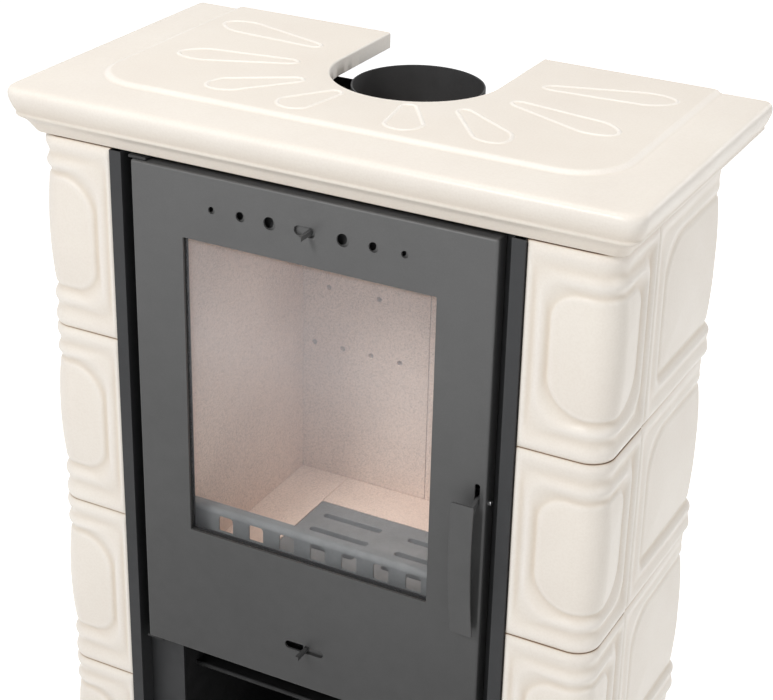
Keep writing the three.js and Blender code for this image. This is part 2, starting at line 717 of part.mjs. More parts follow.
// Four walls of a frame round the rectangle, as solids that a sheet is joined to.
function tray(x, y, z, wall, sheetAtTop) {
  const inner = sheetAtTop ? [z[0] - 1, z[1] - wall] : [z[0] + wall, z[1] + 1];
  const hollow = block([x[0] + wall, x[1] - wall], [y[0] + wall, y[1] - wall], inner);
  return cut(block(x, y, z), hollow);
}

function basePlate() {
  const x = [-ringHalf + BASE_INSET, ringHalf - BASE_INSET];
  const y = [ringFront + BASE_INSET, shieldOut + BASE_REAR];
  const shell = tray(x, y, [0, baseTop], BASE_SHEET, true);
  const keelY = [y[0] + KEEL_END_GAP, y[1] - KEEL_END_GAP];
  const keel = block([-KEEL_W / 2, KEEL_W / 2], keelY, [0, baseTop - BASE_SHEET / 2]);
  const keelBore = block([-KEEL_W / 2 + BASE_SHEET, KEEL_W / 2 - BASE_SHEET],
    [keelY[0] - 1, keelY[1] + 1], [BASE_SHEET, baseTop - BASE_SHEET]);
  return cut(join(shell, keel), keelBore);
}

function frontFrame() {
  const half = stripIn - SEAT;
  const plate = block([-half, half], [frameFront, frameBack], [standing, stripTop]);
  const depth = [frameFront - 1, frameBack + 1];
  const mouth = prism('y', roundedRectangle([-mouthHalf, mouthHalf], [mouthBottom, mouthTop], 6, 3), depth);
  const store = block([-storeHalf, storeHalf], depth,
    [baseTop + STORE_SILL, doorBottom - STORE_TOP_GAP]);
  return cut(plate, mouth, store);
}

function frontStrip(side) {
  const x = mirrored(side, [stripIn, stripOut]);
  const channel = block(x, [stripFront, stripBack], [standing, stripTop]);
  const groove = block([x[0] + STRIP_SHEET, x[1] - STRIP_SHEET], [stripFront + STRIP_SHEET, stripBack + 1],
    [standing - 1, stripTop + 1]);
  return cut(channel, groove);
}

function sidePanel(side) {
  const y = [stripBack + SEAT, shieldIn - SEAT];
  const top = slabUnder - SEAT;
  const wall = block(mirrored(side, [stripIn, stripIn + PANEL_T]), y, [standing, top]);
  const flange = block(mirrored(side, [stripIn, stripIn + PANEL_FLANGE]), y, [top - PANEL_T, top]);
  return join(wall, flange);
}

function rearShield() {
  const z = [standing, stripTop];
  const y = [shieldOut - SHIELD_FLANGE, shieldOut];
  const pan = block([-shieldHalf, shieldHalf], y, z);
  const hollow = block([-shieldHalf + SHIELD_T, shieldHalf - SHIELD_T], [y[0] - 1, shieldIn],
    [z[0] - 1, z[1] + 1]);
  const vents = [];
  for (const column of [-2, -1, 0, 1, 2]) {
    for (const row of [0, 1, 2]) {
      const x = [column * VENT_PITCH_X - VENT_W / 2, column * VENT_PITCH_X + VENT_W / 2];
      for (const level of [z[0] + VENT_EDGE + row * VENT_PITCH_Z, z[1] - VENT_EDGE - row * VENT_PITCH_Z]) {
        vents.push(block(x, [shieldIn - 1, shieldOut + 1], [level - VENT_H / 2, level + VENT_H / 2]));
      }
    }
  }
  return cut(pan, hollow, ...vents);
}

function addBody() {
  add('top_plate', topPlate(), 'ceramic');
  add('base_plate', basePlate(), 'steel');
  add('front_frame', frontFrame(), 'strip');
  add('rear_shield', rearShield(), 'steel');
  for (const [name, side] of SIDES) {
    add(`front_strip_${name}`, frontStrip(side), 'strip');
    add(`side_panel_${name}`, sidePanel(side), 'steel');
  }
}

// ---------------------------------------------------------------- firebox shell

function addFirebox() {
  const inside = [shelfTop + SEAT, boxCeiling - SEAT];
  const shelfHalf = stripIn - SEAT;
  add('firebox_shelf', block([-shelfHalf, shelfHalf], [behindFrame, boxBack], [shelfUnder, shelfTop]), 'steel');
  for (const [name, side] of SIDES) {
    const x = mirrored(side, [boxIn, boxHalf]);
    add(`firebox_side_${name}`, block(x, [behindFrame, boxBackIn - SEAT], inside), 'steel');
  }
  add('firebox_back', block([-boxHalf, boxHalf], [boxBackIn, boxBack], inside), 'steel');

  const ceiling = block([-boxHalf, boxHalf], [behindFrame, boxBack], [boxCeiling, boxTop]);
  const flueHole = prism('z', circle(0, flueY, FLUE_HOLE_R, FLUE_SIDES), [boxCeiling - 1, boxTop + 1]);
  add('firebox_top', cut(ceiling, flueHole), 'steel');

  const collarHeight = [boxTop + SEAT, plateTop - COLLAR_DROP];
  const collar = prism('z', circle(0, flueY, COLLAR_R, FLUE_SIDES), collarHeight);
  const bore = prism('z', circle(0, flueY, COLLAR_R - COLLAR_T, FLUE_SIDES),
    [collarHeight[0] - 1, collarHeight[1] + 1]);
  add('flue_collar', cut(collar, bore), 'steel');

  const bedHalf = boxIn - SEAT;
  const bed = block([-bedHalf, bedHalf], [behindFrame, boxBackIn - SEAT], [bedUnder, bedTop]);
  const bedHole = block([grateX[0] + BED_LEDGE, grateX[1] - BED_LEDGE],
    [grateY[0] + BED_LEDGE, grateY[1] - BED_LEDGE], [bedUnder - 1, bedTop + 1]);
  add('grate_bed', cut(bed, bedHole), 'steel');
}

// ---------------------------------------------------------------- lining and fire floor

function backLining(side) {
  const x = mirrored(side, [SEAT, liningOut]);
  const slab = block(x, [backLiningFace, backLiningRear], [liningFoot, liningTop]);
  const depth = [backLiningFace - 1, backLiningRear + 1];
  const hole = (along, down) => prism('y', circle(side * along, doorTop - down, AIR_HOLE_R, 8), depth);
  return cut(slab, ...UPPER_ROW_X.map((along) => hole(along, UPPER_ROW_Z)),
    ...LOWER_ROW_X.map((along) => hole(along, LOWER_ROW_Z)));
}

function grate() {
  const plate = tray(grateX, grateY, [brickFoot, fireFloor], GRATE_RIM, true);
  const deck = block(grateX, grateY, [fireFloor - GRATE_T, fireFloor]);
  const middleY = (grateY[0] + grateY[1]) / 2;
  const slots = [];
  for (let row = 0; row < GRATE_SLOT_ROWS; row += 1) {
    const y = middleY + (row - (GRATE_SLOT_ROWS - 1) / 2) * GRATE_SLOT_PITCH;
    for (const hand of [-1, 1]) {
      const middleX = GRATE_SHIFT + hand * GRATE_SLOT_X;
      const x = [middleX - GRATE_SLOT[0] / 2, middleX + GRATE_SLOT[0] / 2];
      slots.push(prism('z', slot(x, y, GRATE_SLOT[1]), [brickFoot - 1, fireFloor + 1]));
    }
  }
  return cut(join(plate, deck), ...slots);
}

function logRetainer() {
  const half = liningIn - RETAINER_GAP;
  const front = frameBack + RETAINER_GAP;
  const top = liningFoot + RETAINER_H;
  const upright = block([-half, half], [front, front + RETAINER_T], [liningFoot, top]);
  const flange = block([-half, half], [front, front + RETAINER_FLANGE], [top - RETAINER_T, top]);
  const [width, height] = RETAINER_HOLE;
  const z = liningFoot + RETAINER_HOLE_Z - height / 2;
  const holes = Array.from({ length: RETAINER_HOLES }, (_, i) => {
    const x = (i - (RETAINER_HOLES - 1) / 2) * RETAINER_PITCH;
    const arch = [point(x - width / 2, z), point(x + width / 2, z)];
    for (let step = 0; step <= 6; step += 1) {
      const angle = Math.PI * step / 6;
      arch.push(point(x + width / 2 * Math.cos(angle), z + height - width / 2 + width / 2 * Math.sin(angle)));
    }
    return prism('y', arch, [front - 1, front + RETAINER_T + 1]);
  });
  return cut(join(upright, flange), ...holes);
}

function ashPan() {
  const x = [GRATE_SHIFT - PAN_W / 2, GRATE_SHIFT + PAN_W / 2];
  const y = [frameBack + PAN_SETBACK, frameBack + PAN_SETBACK + PAN_L];
  const z = [shelfTop + SEAT, bedUnder - PAN_TOP_GAP];
  const pan = tray(x, y, z, PAN_T, false);
  const [gripW, gripH] = PAN_GRIP;
  const tab = block([GRATE_SHIFT - gripW / 2, GRATE_SHIFT + gripW / 2], [y[0] - PAN_T, y[0] + PAN_T / 2],
    [z[1] - gripH, z[1]]);
  return join(pan, tab);
}

function addHearth() {
  const sideY = [frameBack + LINING_FRONT, backLiningFace - SEAT];
  for (const [name, side] of SIDES) {
    const x = mirrored(side, [liningIn, liningOut]);
    add(`side_lining_${name}`, block(x, sideY, [liningFoot, liningTop]), 'lining');
    add(`back_lining_${name}`, backLining(side), 'lining');
  }
  const brickZ = [brickFoot, fireFloor];
  const brickY = [behindFrame, boxBackIn - SEAT];
  const leftEdge = grateX[0] - GRATE_PLAY;
  const rightEdge = grateX[1] + GRATE_PLAY;
  const between = [leftEdge + SEAT, rightEdge - SEAT];
  add('floor_brick_left', block([-liningOut, leftEdge], brickY, brickZ), 'lining');
  add('floor_brick_right', block([rightEdge, liningOut], brickY, brickZ), 'lining');
  add('floor_brick_back', block(between, [grateY[1] + GRATE_PLAY, brickY[1]], brickZ), 'lining');
  add('floor_brick_front', block(between, [brickY[0], grateY[0] - GRATE_PLAY], brickZ), 'lining');
  const baffleHalf = boxIn - BAFFLE_PLAY;
  add('baffle', block([-baffleHalf, baffleHalf], [frameBack + BAFFLE_FRONT_GAP, backLiningFace - 1],
    [baffleUnder, baffleTop]), 'lining');
  add('grate', grate(), 'iron');
  add('log_retainer', logRetainer(), 'iron');
  add('ash_pan', ashPan(), 'galvanised');
}

// ---------------------------------------------------------------- log store

function storeLiner() {
  const inner = storeHalf + STORE_LINER_STEP;
  const outer = inner + STORE_SHEET;
  const roof = doorBottom - STORE_ROOF_DROP;
  const back = [behindFrame + STORE_DEPTH - STORE_SHEET, behindFrame + STORE_DEPTH];
  const sides = SIDES.map(([, side]) => block(mirrored(side, [inner, outer]), [behindFrame, back[1]],
    [standing, doorBottom + MOUTH_LAND]));
  const rear = block([-outer, outer], back, [standing, shelfUnder - SEAT]);
  const roofFront = frameBack + STORE_ROOF_SETBACK;
  const lid = block([-outer + 1, outer - 1], [roofFront, back[1] - 1], [roof - STORE_SHEET, roof]);
  const hem = prism('x', circle(roofFront, roof - STORE_SHEET / 2, HEM_R, 10), [-inner - 1, inner + 1]);
  return join(...sides, rear, lid, hem);
}

// ---------------------------------------------------------------- door

// Rails that keep a slide against the door sheet: above and below it, with a lip behind it.
function slideGuides(x, z) {
  return [1, -1].flatMap((up) => {
    const edge = z + up * (SLIDE_H / 2 + RUN);
    const far = edge + up * GUIDE_T;
    const lip = edge - up * GUIDE_LIP;
    const rising = (a, b) => [Math.min(a, b), Math.max(a, b)];
    const lipY = slideY[1] + RUN;
    return [
      block([x - GUIDE_W / 2, x + GUIDE_W / 2], [sheetBack - 1, lipY + GUIDE_T], rising(edge, far)),
      block([x - GUIDE_W / 2, x + GUIDE_W / 2], [lipY, lipY + GUIDE_T], rising(lip, far))
    ];
  });
}

function doorLeaf() {
  const ringAt = (inset, y) => [
    [-doorHalf + inset, y, doorBottom + inset], [doorHalf - inset, y, doorBottom + inset],
    [doorHalf - inset, y, doorTop - inset], [-doorHalf + inset, y, doorTop - inset]
  ];
  const body = loft([ringAt(DOOR_EDGE, doorFront), ringAt(0, doorFront + DOOR_EDGE), ringAt(0, doorBack)]);
  const inner = doorHalf - DOOR_SHEET;
  const hollow = block([-inner, inner], [sheetBack, doorBack + 1],
    [doorBottom + DOOR_SHEET, doorTop - DOOR_SHEET]);
  const through = [doorFront - 1, sheetBack + 1];
  const window = prism('y', roundedRectangle([-windowHalf, windowHalf],
    [doorTop - WINDOW_TOP - WINDOW_H, doorTop - WINDOW_TOP], 2, 2), through);
  const airHoles = AIR_HOLES.flatMap(([along, radius]) => [-1, 1].map((hand) =>
    prism('y', circle(hand * along, airZ, radius, SMALL_ROUND), through)));
  const upperSlot = prism('y', slot(AIR_SLOT.slice(0, 2), airZ, AIR_SLOT[2]), through);
  const lowerSlot = prism('y', slot(LOWER_SLOT.slice(0, 2), lowerAirZ, LOWER_SLOT[2]), through);
  const handleSlot = prism('y', roundedRectangle(handleSlotX, [doorTop - HANDLE_SLOT_Z[1],
    doorTop - HANDLE_SLOT_Z[0]], (handleSlotX[1] - handleSlotX[0]) / 2 - SLOT_FLAT), through);
  const hingeHole = prism('z', circle(hingeX, hingeY, HINGE_PIN_R + PIN_PLAY, 16),
    [doorBottom - 1, doorTop + 1]);
  const pinHole = prism('x', circle(latchY, latchZ, PIN_R + SEAT, SMALL_ROUND), [inner - 1, doorHalf + 1]);
  const pan = cut(body, hollow, window, ...airHoles, upperSlot, lowerSlot, handleSlot, hingeHole, pinHole);
  return join(pan, ...slideGuides(-UPPER_GUIDE_X, airZ), ...slideGuides(UPPER_GUIDE_X, airZ),
    ...slideGuides(LOWER_GUIDE_X, lowerAirZ));
}

// A rectangular ring between two distances from the seal's middle line.
function sealRing(width, y) {
  const ring = (offset) => [
    [-gasketHalf - offset, gasketHalf + offset], [gasketBottom - offset, gasketTop + offset]
  ];
  const [outerX, outerZ] = ring(width / 2);
  const [innerX, innerZ] = ring(-width / 2);
  return cut(block(outerX, y, outerZ), block(innerX, [y[0] - 1, y[1] + 1], innerZ));
}

function gasketChannel() {
  const foot = sheetBack + SEAT;
  const rail = sealRing(CHANNEL_W, [foot, foot + CHANNEL_H]);
  const groove = sealRing(CHANNEL_GROOVE, [foot + CHANNEL_FLOOR, foot + CHANNEL_H + 1]);
  return cut(rail, groove);
}

function doorGasket() {
  const floor = sheetBack + SEAT + CHANNEL_FLOOR;
  return sealRing(GASKET_W, [floor + SEAT, frameFront - SEAT]);
}

// The window's outline grown by a lap, as x and z limits.
function aroundWindow(lap) {
  const bottom = doorTop - WINDOW_TOP - WINDOW_H;
  return {
    x: [-windowHalf - lap, windowHalf + lap],
    z: [bottom - lap, doorTop - WINDOW_TOP + lap]
  };
}

function windowRing(outerLap, innerLap, y) {
  const outer = aroundWindow(outerLap);
  const inner = aroundWindow(innerLap);
  return cut(block(outer.x, y, outer.z), block(inner.x, [y[0] - 1, y[1] + 1], inner.z));
}

function addWindow() {
  const sealY = [sheetBack + SEAT, sheetBack + SEAT + GLASS_SEAL_T];
  const glassY = [sealY[1] + SEAT, sealY[1] + SEAT + GLASS_T];
  const frameY = [glassY[1] + SEAT, glassY[1] + SEAT + GLASS_FRAME_T];
  const glass = aroundWindow(GLASS_LAP);
  add('glass_gasket', windowRing(GLASS_LAP - GLASS_SEAL_SHORT, 0, sealY), 'rope');
  add('window_glass', block(glass.x, glassY, glass.z), 'glass');
  add('glass_frame', windowRing(GLASS_LAP + GLASS_FRAME_LAP, GLASS_FRAME_STEP, frameY), 'steel');
}

// The sheet behind the upper slide that turns the air down over the glass, with a cheek at each end.
function airChannel() {
  const front = slideY[1] + RUN + GUIDE_T + AIR_CHANNEL_GAP;
  const y = [front, front + AIR_CHANNEL_T];
  const z = [airZ - AIR_CHANNEL_DROP, gasketTop - CHANNEL_W / 2 - SEAT];
  const cheeks = SIDES.map(([, side]) => block(
    mirrored(side, [AIR_CHANNEL_HALF - AIR_CHANNEL_T, AIR_CHANNEL_HALF]), [sheetBack + SEAT, y[1]], z));
  return join(block([-AIR_CHANNEL_HALF, AIR_CHANNEL_HALF], y, z), ...cheeks);
}

// A lever that reaches out through its slot in the door sheet.
function lever(x, z) {
  return block([x - LEVER_W / 2, x + LEVER_W / 2], [doorFront - LEVER_REACH, slideY[0] + SLIDE_T / 2],
    [z - LEVER_H / 2, z + LEVER_H / 2]);
}

function upperSlide() {
  const x = [-UPPER_SLIDE_HALF - UPPER_SLIDE_OFFSET, UPPER_SLIDE_HALF - UPPER_SLIDE_OFFSET];
  const plate = block(x, slideY, [airZ - SLIDE_H / 2, airZ + SLIDE_H / 2]);
  const holes = AIR_HOLES.flatMap(([along, radius]) => [-1, 1].map((hand) =>
    prism('y', circle(hand * along - UPPER_SLIDE_OFFSET, airZ, radius, SMALL_ROUND),
      [slideY[0] - 1, slideY[1] + 1])));
  return join(cut(plate, ...holes), lever(UPPER_LEVER_X, airZ));
}

function lowerSlide() {
  const plate = block(LOWER_SLIDE, slideY, [lowerAirZ - SLIDE_H / 2, lowerAirZ + SLIDE_H / 2]);
  return join(plate, lever(LOWER_LEVER_X, lowerAirZ));
}

// The handle: a bowed blade, seen from the side as a curved strip.
function handleBlade() {
  const [top, middle, bottom] = BLADE_OUT;
  const front = (share) => {
    const nearTop = 2 * (share - 0.5) * (share - 1) * top;
    const nearMiddle = 4 * share * (1 - share) * middle;
    const nearBottom = 2 * share * (share - 0.5) * bottom;
    return doorFront - (nearTop + nearMiddle + nearBottom);
  };
  const shares = Array.from({ length: BLADE_STEPS + 1 }, (_, i) => i / BLADE_STEPS);
  const level = (share) => doorTop - BLADE_Z[0] - share * (BLADE_Z[1] - BLADE_Z[0]);
  const outline = [
    ...shares.map((share) => point(front(share), level(share))),
    ...shares.reverse().map((share) => point(front(share) + BLADE_T, level(share)))
  ];
  return prism('x', outline, bladeX);
}

function latchLever() {
  const armTop = latchZ + LATCH_BOSS_R;
  const boss = prism('x', circle(latchY, latchZ, LATCH_BOSS_R, ROUND), latchX);
  const hook = block(latchX, [latchY - 1, doorFront + HOOK_Y[1]], [latchZ - LATCH_BOSS_R + 1, latchZ + 2]);
  const tooth = block(latchX, [doorFront + HOOK_Y[0], doorFront + HOOK_Y[1]], [latchZ, latchZ + HOOK_H]);
  const bladeBack = doorFront - BLADE_OUT[0] + BLADE_T;
  const arm = prism('x', [
    point(latchY, armTop), point(doorFront, armTop), point(bladeBack + SEAT, latchZ + 1),
    point(bladeBack + SEAT, latchZ + 1 - ARM_H), point(doorFront - 3, latchZ), point(latchY, latchZ)
  ].reverse(), latchX);
  const bore = prism('x', circle(latchY, latchZ, PIN_R + SEAT, SMALL_ROUND), [latchX[0] - 1, latchX[1] + 1]);
  return cut(join(boss, hook, tooth, arm), bore);
}

function latchBracket() {
  const foot = sheetBack + SEAT;
  const plate = block(bracketX, [foot, doorFront + HOOK_Y[1]],
    [latchZ - BRACKET_BELOW, latchZ + BRACKET_ABOVE]);
  const bore = prism('x', circle(latchY, latchZ, PIN_R + SEAT, SMALL_ROUND),
    [bracketX[0] - 1, bracketX[1] + 1]);
  return cut(plate, bore);
}

// The lip that the hook turns behind, on a leg that lies against the front frame.
function striker() {
  const under = latchZ + HOOK_H + HOOK_CLEAR;
  const back = frameFront - SEAT;
  const lip = block(strikerX, [doorFront + HOOK_Y[0], back], [under, under + STRIKER_T]);
  const leg = block(strikerX, [back - STRIKER_T, back], [under, under + STRIKER_LEG]);
  return join(lip, leg);
}

// A tab on the front frame with a pin up or down into the door's edge.
function hingeBracket(tabZ, pinZ) {
  const x = [hingeX - HINGE_TAB_W / 2, hingeX + HINGE_TAB_W / 2];
  const tab = block(x, [doorFront + HINGE_TAB_FRONT, frameFront - SEAT], tabZ);
  const pin = prism('z', circle(hingeX, hingeY, HINGE_PIN_R, 16), pinZ);
  return join(tab, pin);
}

function addDoor() {
  add('door_leaf', doorLeaf(), 'door');
  add('gasket_channel', gasketChannel(), 'steel');
  add('door_gasket', doorGasket(), 'rope');
  addWindow();
  add('air_channel', airChannel(), 'steel');
  add('upper_air_slide', upperSlide(), 'door');
  add('lower_air_slide', lowerSlide(), 'door');
  add('handle_blade', handleBlade(), 'door');
  add('latch_lever', latchLever(), 'door');
  add('latch_pin', prism('x', circle(latchY, latchZ, PIN_R, SMALL_ROUND),
    [bracketX[0], doorHalf + DOOR_SHEET]), 'pin');
  add('latch_bracket', latchBracket(), 'steel');
  add('latch_striker', striker(), 'steel');
  const topTab = [doorTop + HINGE_TOP_GAP, doorTop + HINGE_TOP_GAP + HINGE_TAB];
  const bottomTab = [doorBottom - SEAT - HINGE_TAB, doorBottom - SEAT];
  add('hinge_bracket_top', hingeBracket(topTab, [topTab[0] - HINGE_PIN_L, topTab[1] - 1]), 'steel');
  add('hinge_bracket_bottom', hingeBracket(bottomTab, [bottomTab[0] + 1, bottomTab[1] + HINGE_PIN_L]), 'steel');
}

// ---------------------------------------------------------------- assembly

addBody();
addTiles();
addFirebox();
addHearth();
add('store_liner', storeLiner(), 'steel');
addDoor();

export default stove;
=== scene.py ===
# The looks of a tiled wood stove, built round its construction frame. Metres, +Z up, the door looks
# towards -Y. Lengths that belong to the object are written in millimetres and turned by MM.

import math

import bmesh
import bpy
import numpy as np
from mathutils import Matrix, Vector
from mathutils.geometry import tessellate_polygon


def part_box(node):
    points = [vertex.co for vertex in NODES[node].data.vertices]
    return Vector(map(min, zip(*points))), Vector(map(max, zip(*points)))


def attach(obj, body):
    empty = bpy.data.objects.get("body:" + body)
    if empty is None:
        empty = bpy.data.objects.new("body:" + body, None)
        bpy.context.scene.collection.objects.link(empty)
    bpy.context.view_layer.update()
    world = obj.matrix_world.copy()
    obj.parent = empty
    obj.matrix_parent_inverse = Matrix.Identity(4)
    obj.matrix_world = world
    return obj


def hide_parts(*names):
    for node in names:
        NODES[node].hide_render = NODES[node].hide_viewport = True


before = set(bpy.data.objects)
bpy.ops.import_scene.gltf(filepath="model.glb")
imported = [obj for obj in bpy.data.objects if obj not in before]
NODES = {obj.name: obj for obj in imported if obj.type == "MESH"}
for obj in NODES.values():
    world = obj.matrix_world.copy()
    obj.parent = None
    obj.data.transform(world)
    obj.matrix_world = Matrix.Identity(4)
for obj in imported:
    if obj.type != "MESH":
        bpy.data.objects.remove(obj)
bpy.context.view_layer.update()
MM = 0.001

# ---------------------------------------------------------------- the object's driving sizes (mm)

RING_R = 30                     # plan radius of the ring of tiles
TILE_T = 16
TILE_STEP = 1.9                 # grid step of a tile's relief
CORNER_W = 99.7                 # from the strip's joint to the ring's flank
STRIP_JOINT = 0.3
STRIP_PROUD = 1.7               # how far the strips stand before the ring's face
CORNICE_H = 52.4
PLATE_LIP = 20                  # how far the plate's hollow lies inside the ring
PLATE_SLAB = 16
PLATE_ARRIS = 2.5
NOTCH_R = 98
PANEL_SIDE = 34                 # from the ring's flank to the raised panel
PANEL_FRONT = 45
PANEL_R = 62
PANEL_RISE = 3.5

DOOR_SHEET = 3
DOOR_BEND = 3.2                 # radius of the bend round the door's edge
DOOR_CORNER_R = 2.5
HOLE_ARRIS = 0.4
GLASS_LAP = 13.5                # how far the glass reaches past the window
WINDOW_R = 1.5
AIR_DROP = 37.7                 # from the door's top to the row of air holes
AIR_HOLES = ((43.4, 7.2), (78.8, 5.6), (114.3, 4.0))    # distance from the middle and radius
UPPER_SLOT = (-14, 11)
UPPER_SLOT_HALF = 5.5
LOWER_SLOT = (-26, 24)
LOWER_SLOT_HALF = 5
LOWER_SLOT_RISE = 54            # from the door's bottom
HANDLE_SLOT = (203, 209)
HANDLE_SLOT_DROP = (301, 275.7)     # its foot and its top, down from the door's top
SLOT_END = 0.01                 # what is left flat at a slot's round ends
BLADE_OUT = (20, 21.5, 10)      # the handle blade's back before the door: top, middle, foot
BLADE_T = 2.5
BLADE_TAPER = 2                 # length over which the blade's ends round off

COLLAR_R = 75
COLLAR_WALL = 2
COLLAR_SEAM_AT = 52             # degrees round the collar
COLLAR_SEAM_H = 0.6
COLLAR_SEAM_W = 2.2
BOARD_HOLE_R = 3.5
BOARD_HOLES = ((248, (70, 140)), (327, (40, 80, 120, 160)))     # down from the door's top, and along
RETAINER_T = 2.5
RETAINER_BEND = 7
RETAINER_HOLES = 7
RETAINER_PITCH = 40.6
RETAINER_HOLE_HALF = 9.5
RETAINER_HOLE_RISE = (58.3, 78.3)   # its foot and its top over the retainer's foot
RETAINER_HOLE_R = [4, 4, 1.5, 1.5]
GRATE_DECK = 8
GRATE_RIM = 8
GRATE_SLOT_ROWS = 4
GRATE_SLOT_PITCH = 35
GRATE_SLOT_SIDE = 58.5          # from the grate's middle to a slot's middle
GRATE_SLOT_HALF = (40, 4.5)
GRATE_SLOT_R = 4.4

# ---------------------------------------------------------------- frame helpers


def low(node):
    """The lowest corner of a CAD node, in millimetres."""
    return np.array(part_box(node)[0]) / MM


def high(node):
    """The highest corner of a CAD node, in millimetres."""
    return np.array(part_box(node)[1]) / MM


def ranges(node):
    """A CAD node's x, y and z limits in millimetres."""
    return [(a, b) for a, b in zip(low(node), high(node))]


RING_HALF = high("front_strip_right")[0] + STRIP_JOINT + CORNER_W
RING_FRONT = low("front_strip_right")[1] + STRIP_PROUD
RING_BACK = -RING_FRONT
PLATE_FOOT = low("top_plate")[2]
PLATE_TOP = PLATE_FOOT + CORNICE_H
PLATE_BACK = high("top_plate")[1]
FLUE_Y = (low("flue_collar")[1] + high("flue_collar")[1]) / 2

# ---------------------------------------------------------------- node material helpers


class Nodes:
    """A small builder for a procedural material."""

    def __init__(self, name):
        self.material = bpy.data.materials.new(name)
        self.material.use_nodes = True
        self.tree = self.material.node_tree
        self.shader = self.tree.nodes["Principled BSDF"]
        self.where = self.add("ShaderNodeTexCoord").outputs["Object"]

    def add(self, kind, **values):
        node = self.tree.nodes.new(kind)
        for key, value in values.items():
            setattr(node, key, value)
        return node

    def link(self, output, target):
        self.tree.links.new(output, target)

    def stretched(self, factors):
        """The object's coordinates, stretched along its axes."""
        mapping = self.add("ShaderNodeMapping")
        mapping.inputs["Scale"].default_value = factors
        self.link(self.where, mapping.inputs["Vector"])
        return mapping.outputs["Vector"]

    def height(self):
        """The height over the floor in metres, with the stove at rest."""
        place = self.add("ShaderNodeSeparateXYZ")
        self.link(self.where, place.inputs["Vector"])
        return place.outputs["Z"]

    def noise(self, scale, detail=2.0, roughness=0.5, where=None):
        """A noise field; scale is in cells per metre."""
        node = self.add("ShaderNodeTexNoise")
        node.inputs["Scale"].default_value = scale
        node.inputs["Detail"].default_value = detail
        node.inputs["Roughness"].default_value = roughness
        self.link(where or self.where, node.inputs["Vector"])
        return node.outputs["Fac"]

    def ramp(self, value, stops):
        """Maps a value to a colour or grey by (position, colour) stops."""
        node = self.add("ShaderNodeValToRGB")
        ramp = node.color_ramp
        while len(ramp.elements) < len(stops):
            ramp.elements.new(0.5)
        for element, (position, colour) in zip(ramp.elements, stops):
            grey = isinstance(colour, (int, float))
            element.position = position
            element.color = (colour, colour, colour, 1) if grey else (*colour, 1)
        self.link(value, node.inputs["Fac"])
        return node.outputs["Color"]

    def mix(self, factor, first, second, blend="MIX"):
        """Mixes two colours; each is an output or a colour, and so is the factor."""
        node = self.add("ShaderNodeMix", data_type="RGBA", blend_type=blend)
        for key, value in (("Factor", factor), ("A", first), ("B", second)):
            socket = next(s for s in node.inputs if s.name == key and s.enabled)
            if isinstance(value, bpy.types.NodeSocket):
                self.link(value, socket)
            elif key == "Factor":
                socket.default_value = value
            else:
                socket.default_value = (*value, 1)
        return next(s for s in node.outputs if s.enabled)

    def bump(self, height, depth_mm, strength=1.0, after=None):
        node = self.add("ShaderNodeBump")
        node.inputs["Distance"].default_value = depth_mm * MM
        node.inputs["Strength"].default_value = strength
        self.link(height, node.inputs["Height"])
        if after:
            self.link(after, node.inputs["Normal"])
        return node.outputs["Normal"]

    def finish(self, colour=None, roughness=None, normal=None, **plain):
        for name, value in (("Base Color", colour), ("Roughness", roughness), ("Normal", normal)):
            if value is not None:
                self.link(value, self.shader.inputs[name])
        for name, value in plain.items():
            self.shader.inputs[name.replace("_", " ")].default_value = value
        return self.material


def ceramic_material():
    """Warm ivory glaze, brown at a tile's edge; darker in a groove (pooled glaze and painted shade), paler on
    a crest (painted highlight).
    """
    m = Nodes("ceramic_glaze")
    # The relief attribute's colour: painted shade and pooled glaze in a groove, painted highlight on a crest.
    relief = m.add("ShaderNodeAttribute", attribute_name="relief").outputs["Fac"]
    depth = m.ramp(relief, [(0.0, (0.30, 0.19, 0.12)), (0.2, (0.76, 0.67, 0.56)),
                            (0.7, (0.895, 0.835, 0.755)), (1.0, (0.93, 0.88, 0.815))])
    cloud = m.ramp(m.noise(9, 3.0), [(0.3, (0.965, 0.955, 0.95)), (0.7, (1.0, 1.0, 1.0))])
    speck = m.ramp(m.noise(420, 2.0), [(0.35, (0.975, 0.97, 0.965)), (0.6, (1.0, 1.0, 1.0))])
    colour = m.mix(1.0, m.mix(1.0, depth, cloud, "MULTIPLY"), speck, "MULTIPLY")
    roughness = m.ramp(m.noise(30, 2.0), [(0.3, 0.38), (0.7, 0.46)])
    waves = m.bump(m.noise(24, 1.0), 0.3, 0.3)
    skin = m.bump(m.noise(220, 2.0), 0.02, 0.25, after=waves)
    return m.finish(colour, roughness, skin, Specular_IOR_Level=0.32, Coat_Weight=0.12,
                    Coat_Roughness=0.1)


def paint_material(name, colour, spread, roughness, shade_by_height):
    """Sprayed stove paint: a fine grain and an uneven sheen, darker towards the bottom as painted shade of
    the light from above.

    The painted shade is a list of (height in metres, brightness).
    """
    m = Nodes(name)
    pale = tuple(c * (1 + spread) for c in colour)
    dark = tuple(c * (1 - spread) for c in colour)
    patches = m.ramp(m.noise(7, 3.0), [(0.3, dark), (0.7, pale)])
    fine = m.ramp(m.noise(900, 2.0), [(0.3, (0.93, 0.93, 0.93)), (0.7, (1.0, 1.0, 1.0))])
    sheen = m.ramp(m.noise(60, 3.0), [(0.3, roughness[0]), (0.7, roughness[1])])
    skin = m.bump(m.noise(1400, 2.0), 0.03, 0.6)
    unshaded = m.mix(1.0, patches, fine, "MULTIPLY")
    # Painted shade: the paint darkens towards the bottom, where less of the light from above falls.
    shaded = m.mix(1.0, unshaded, m.ramp(m.height(), shade_by_height), "MULTIPLY")
    return m.finish(shaded, sheen, skin, Metallic=0.25, Specular_IOR_Level=0.3)


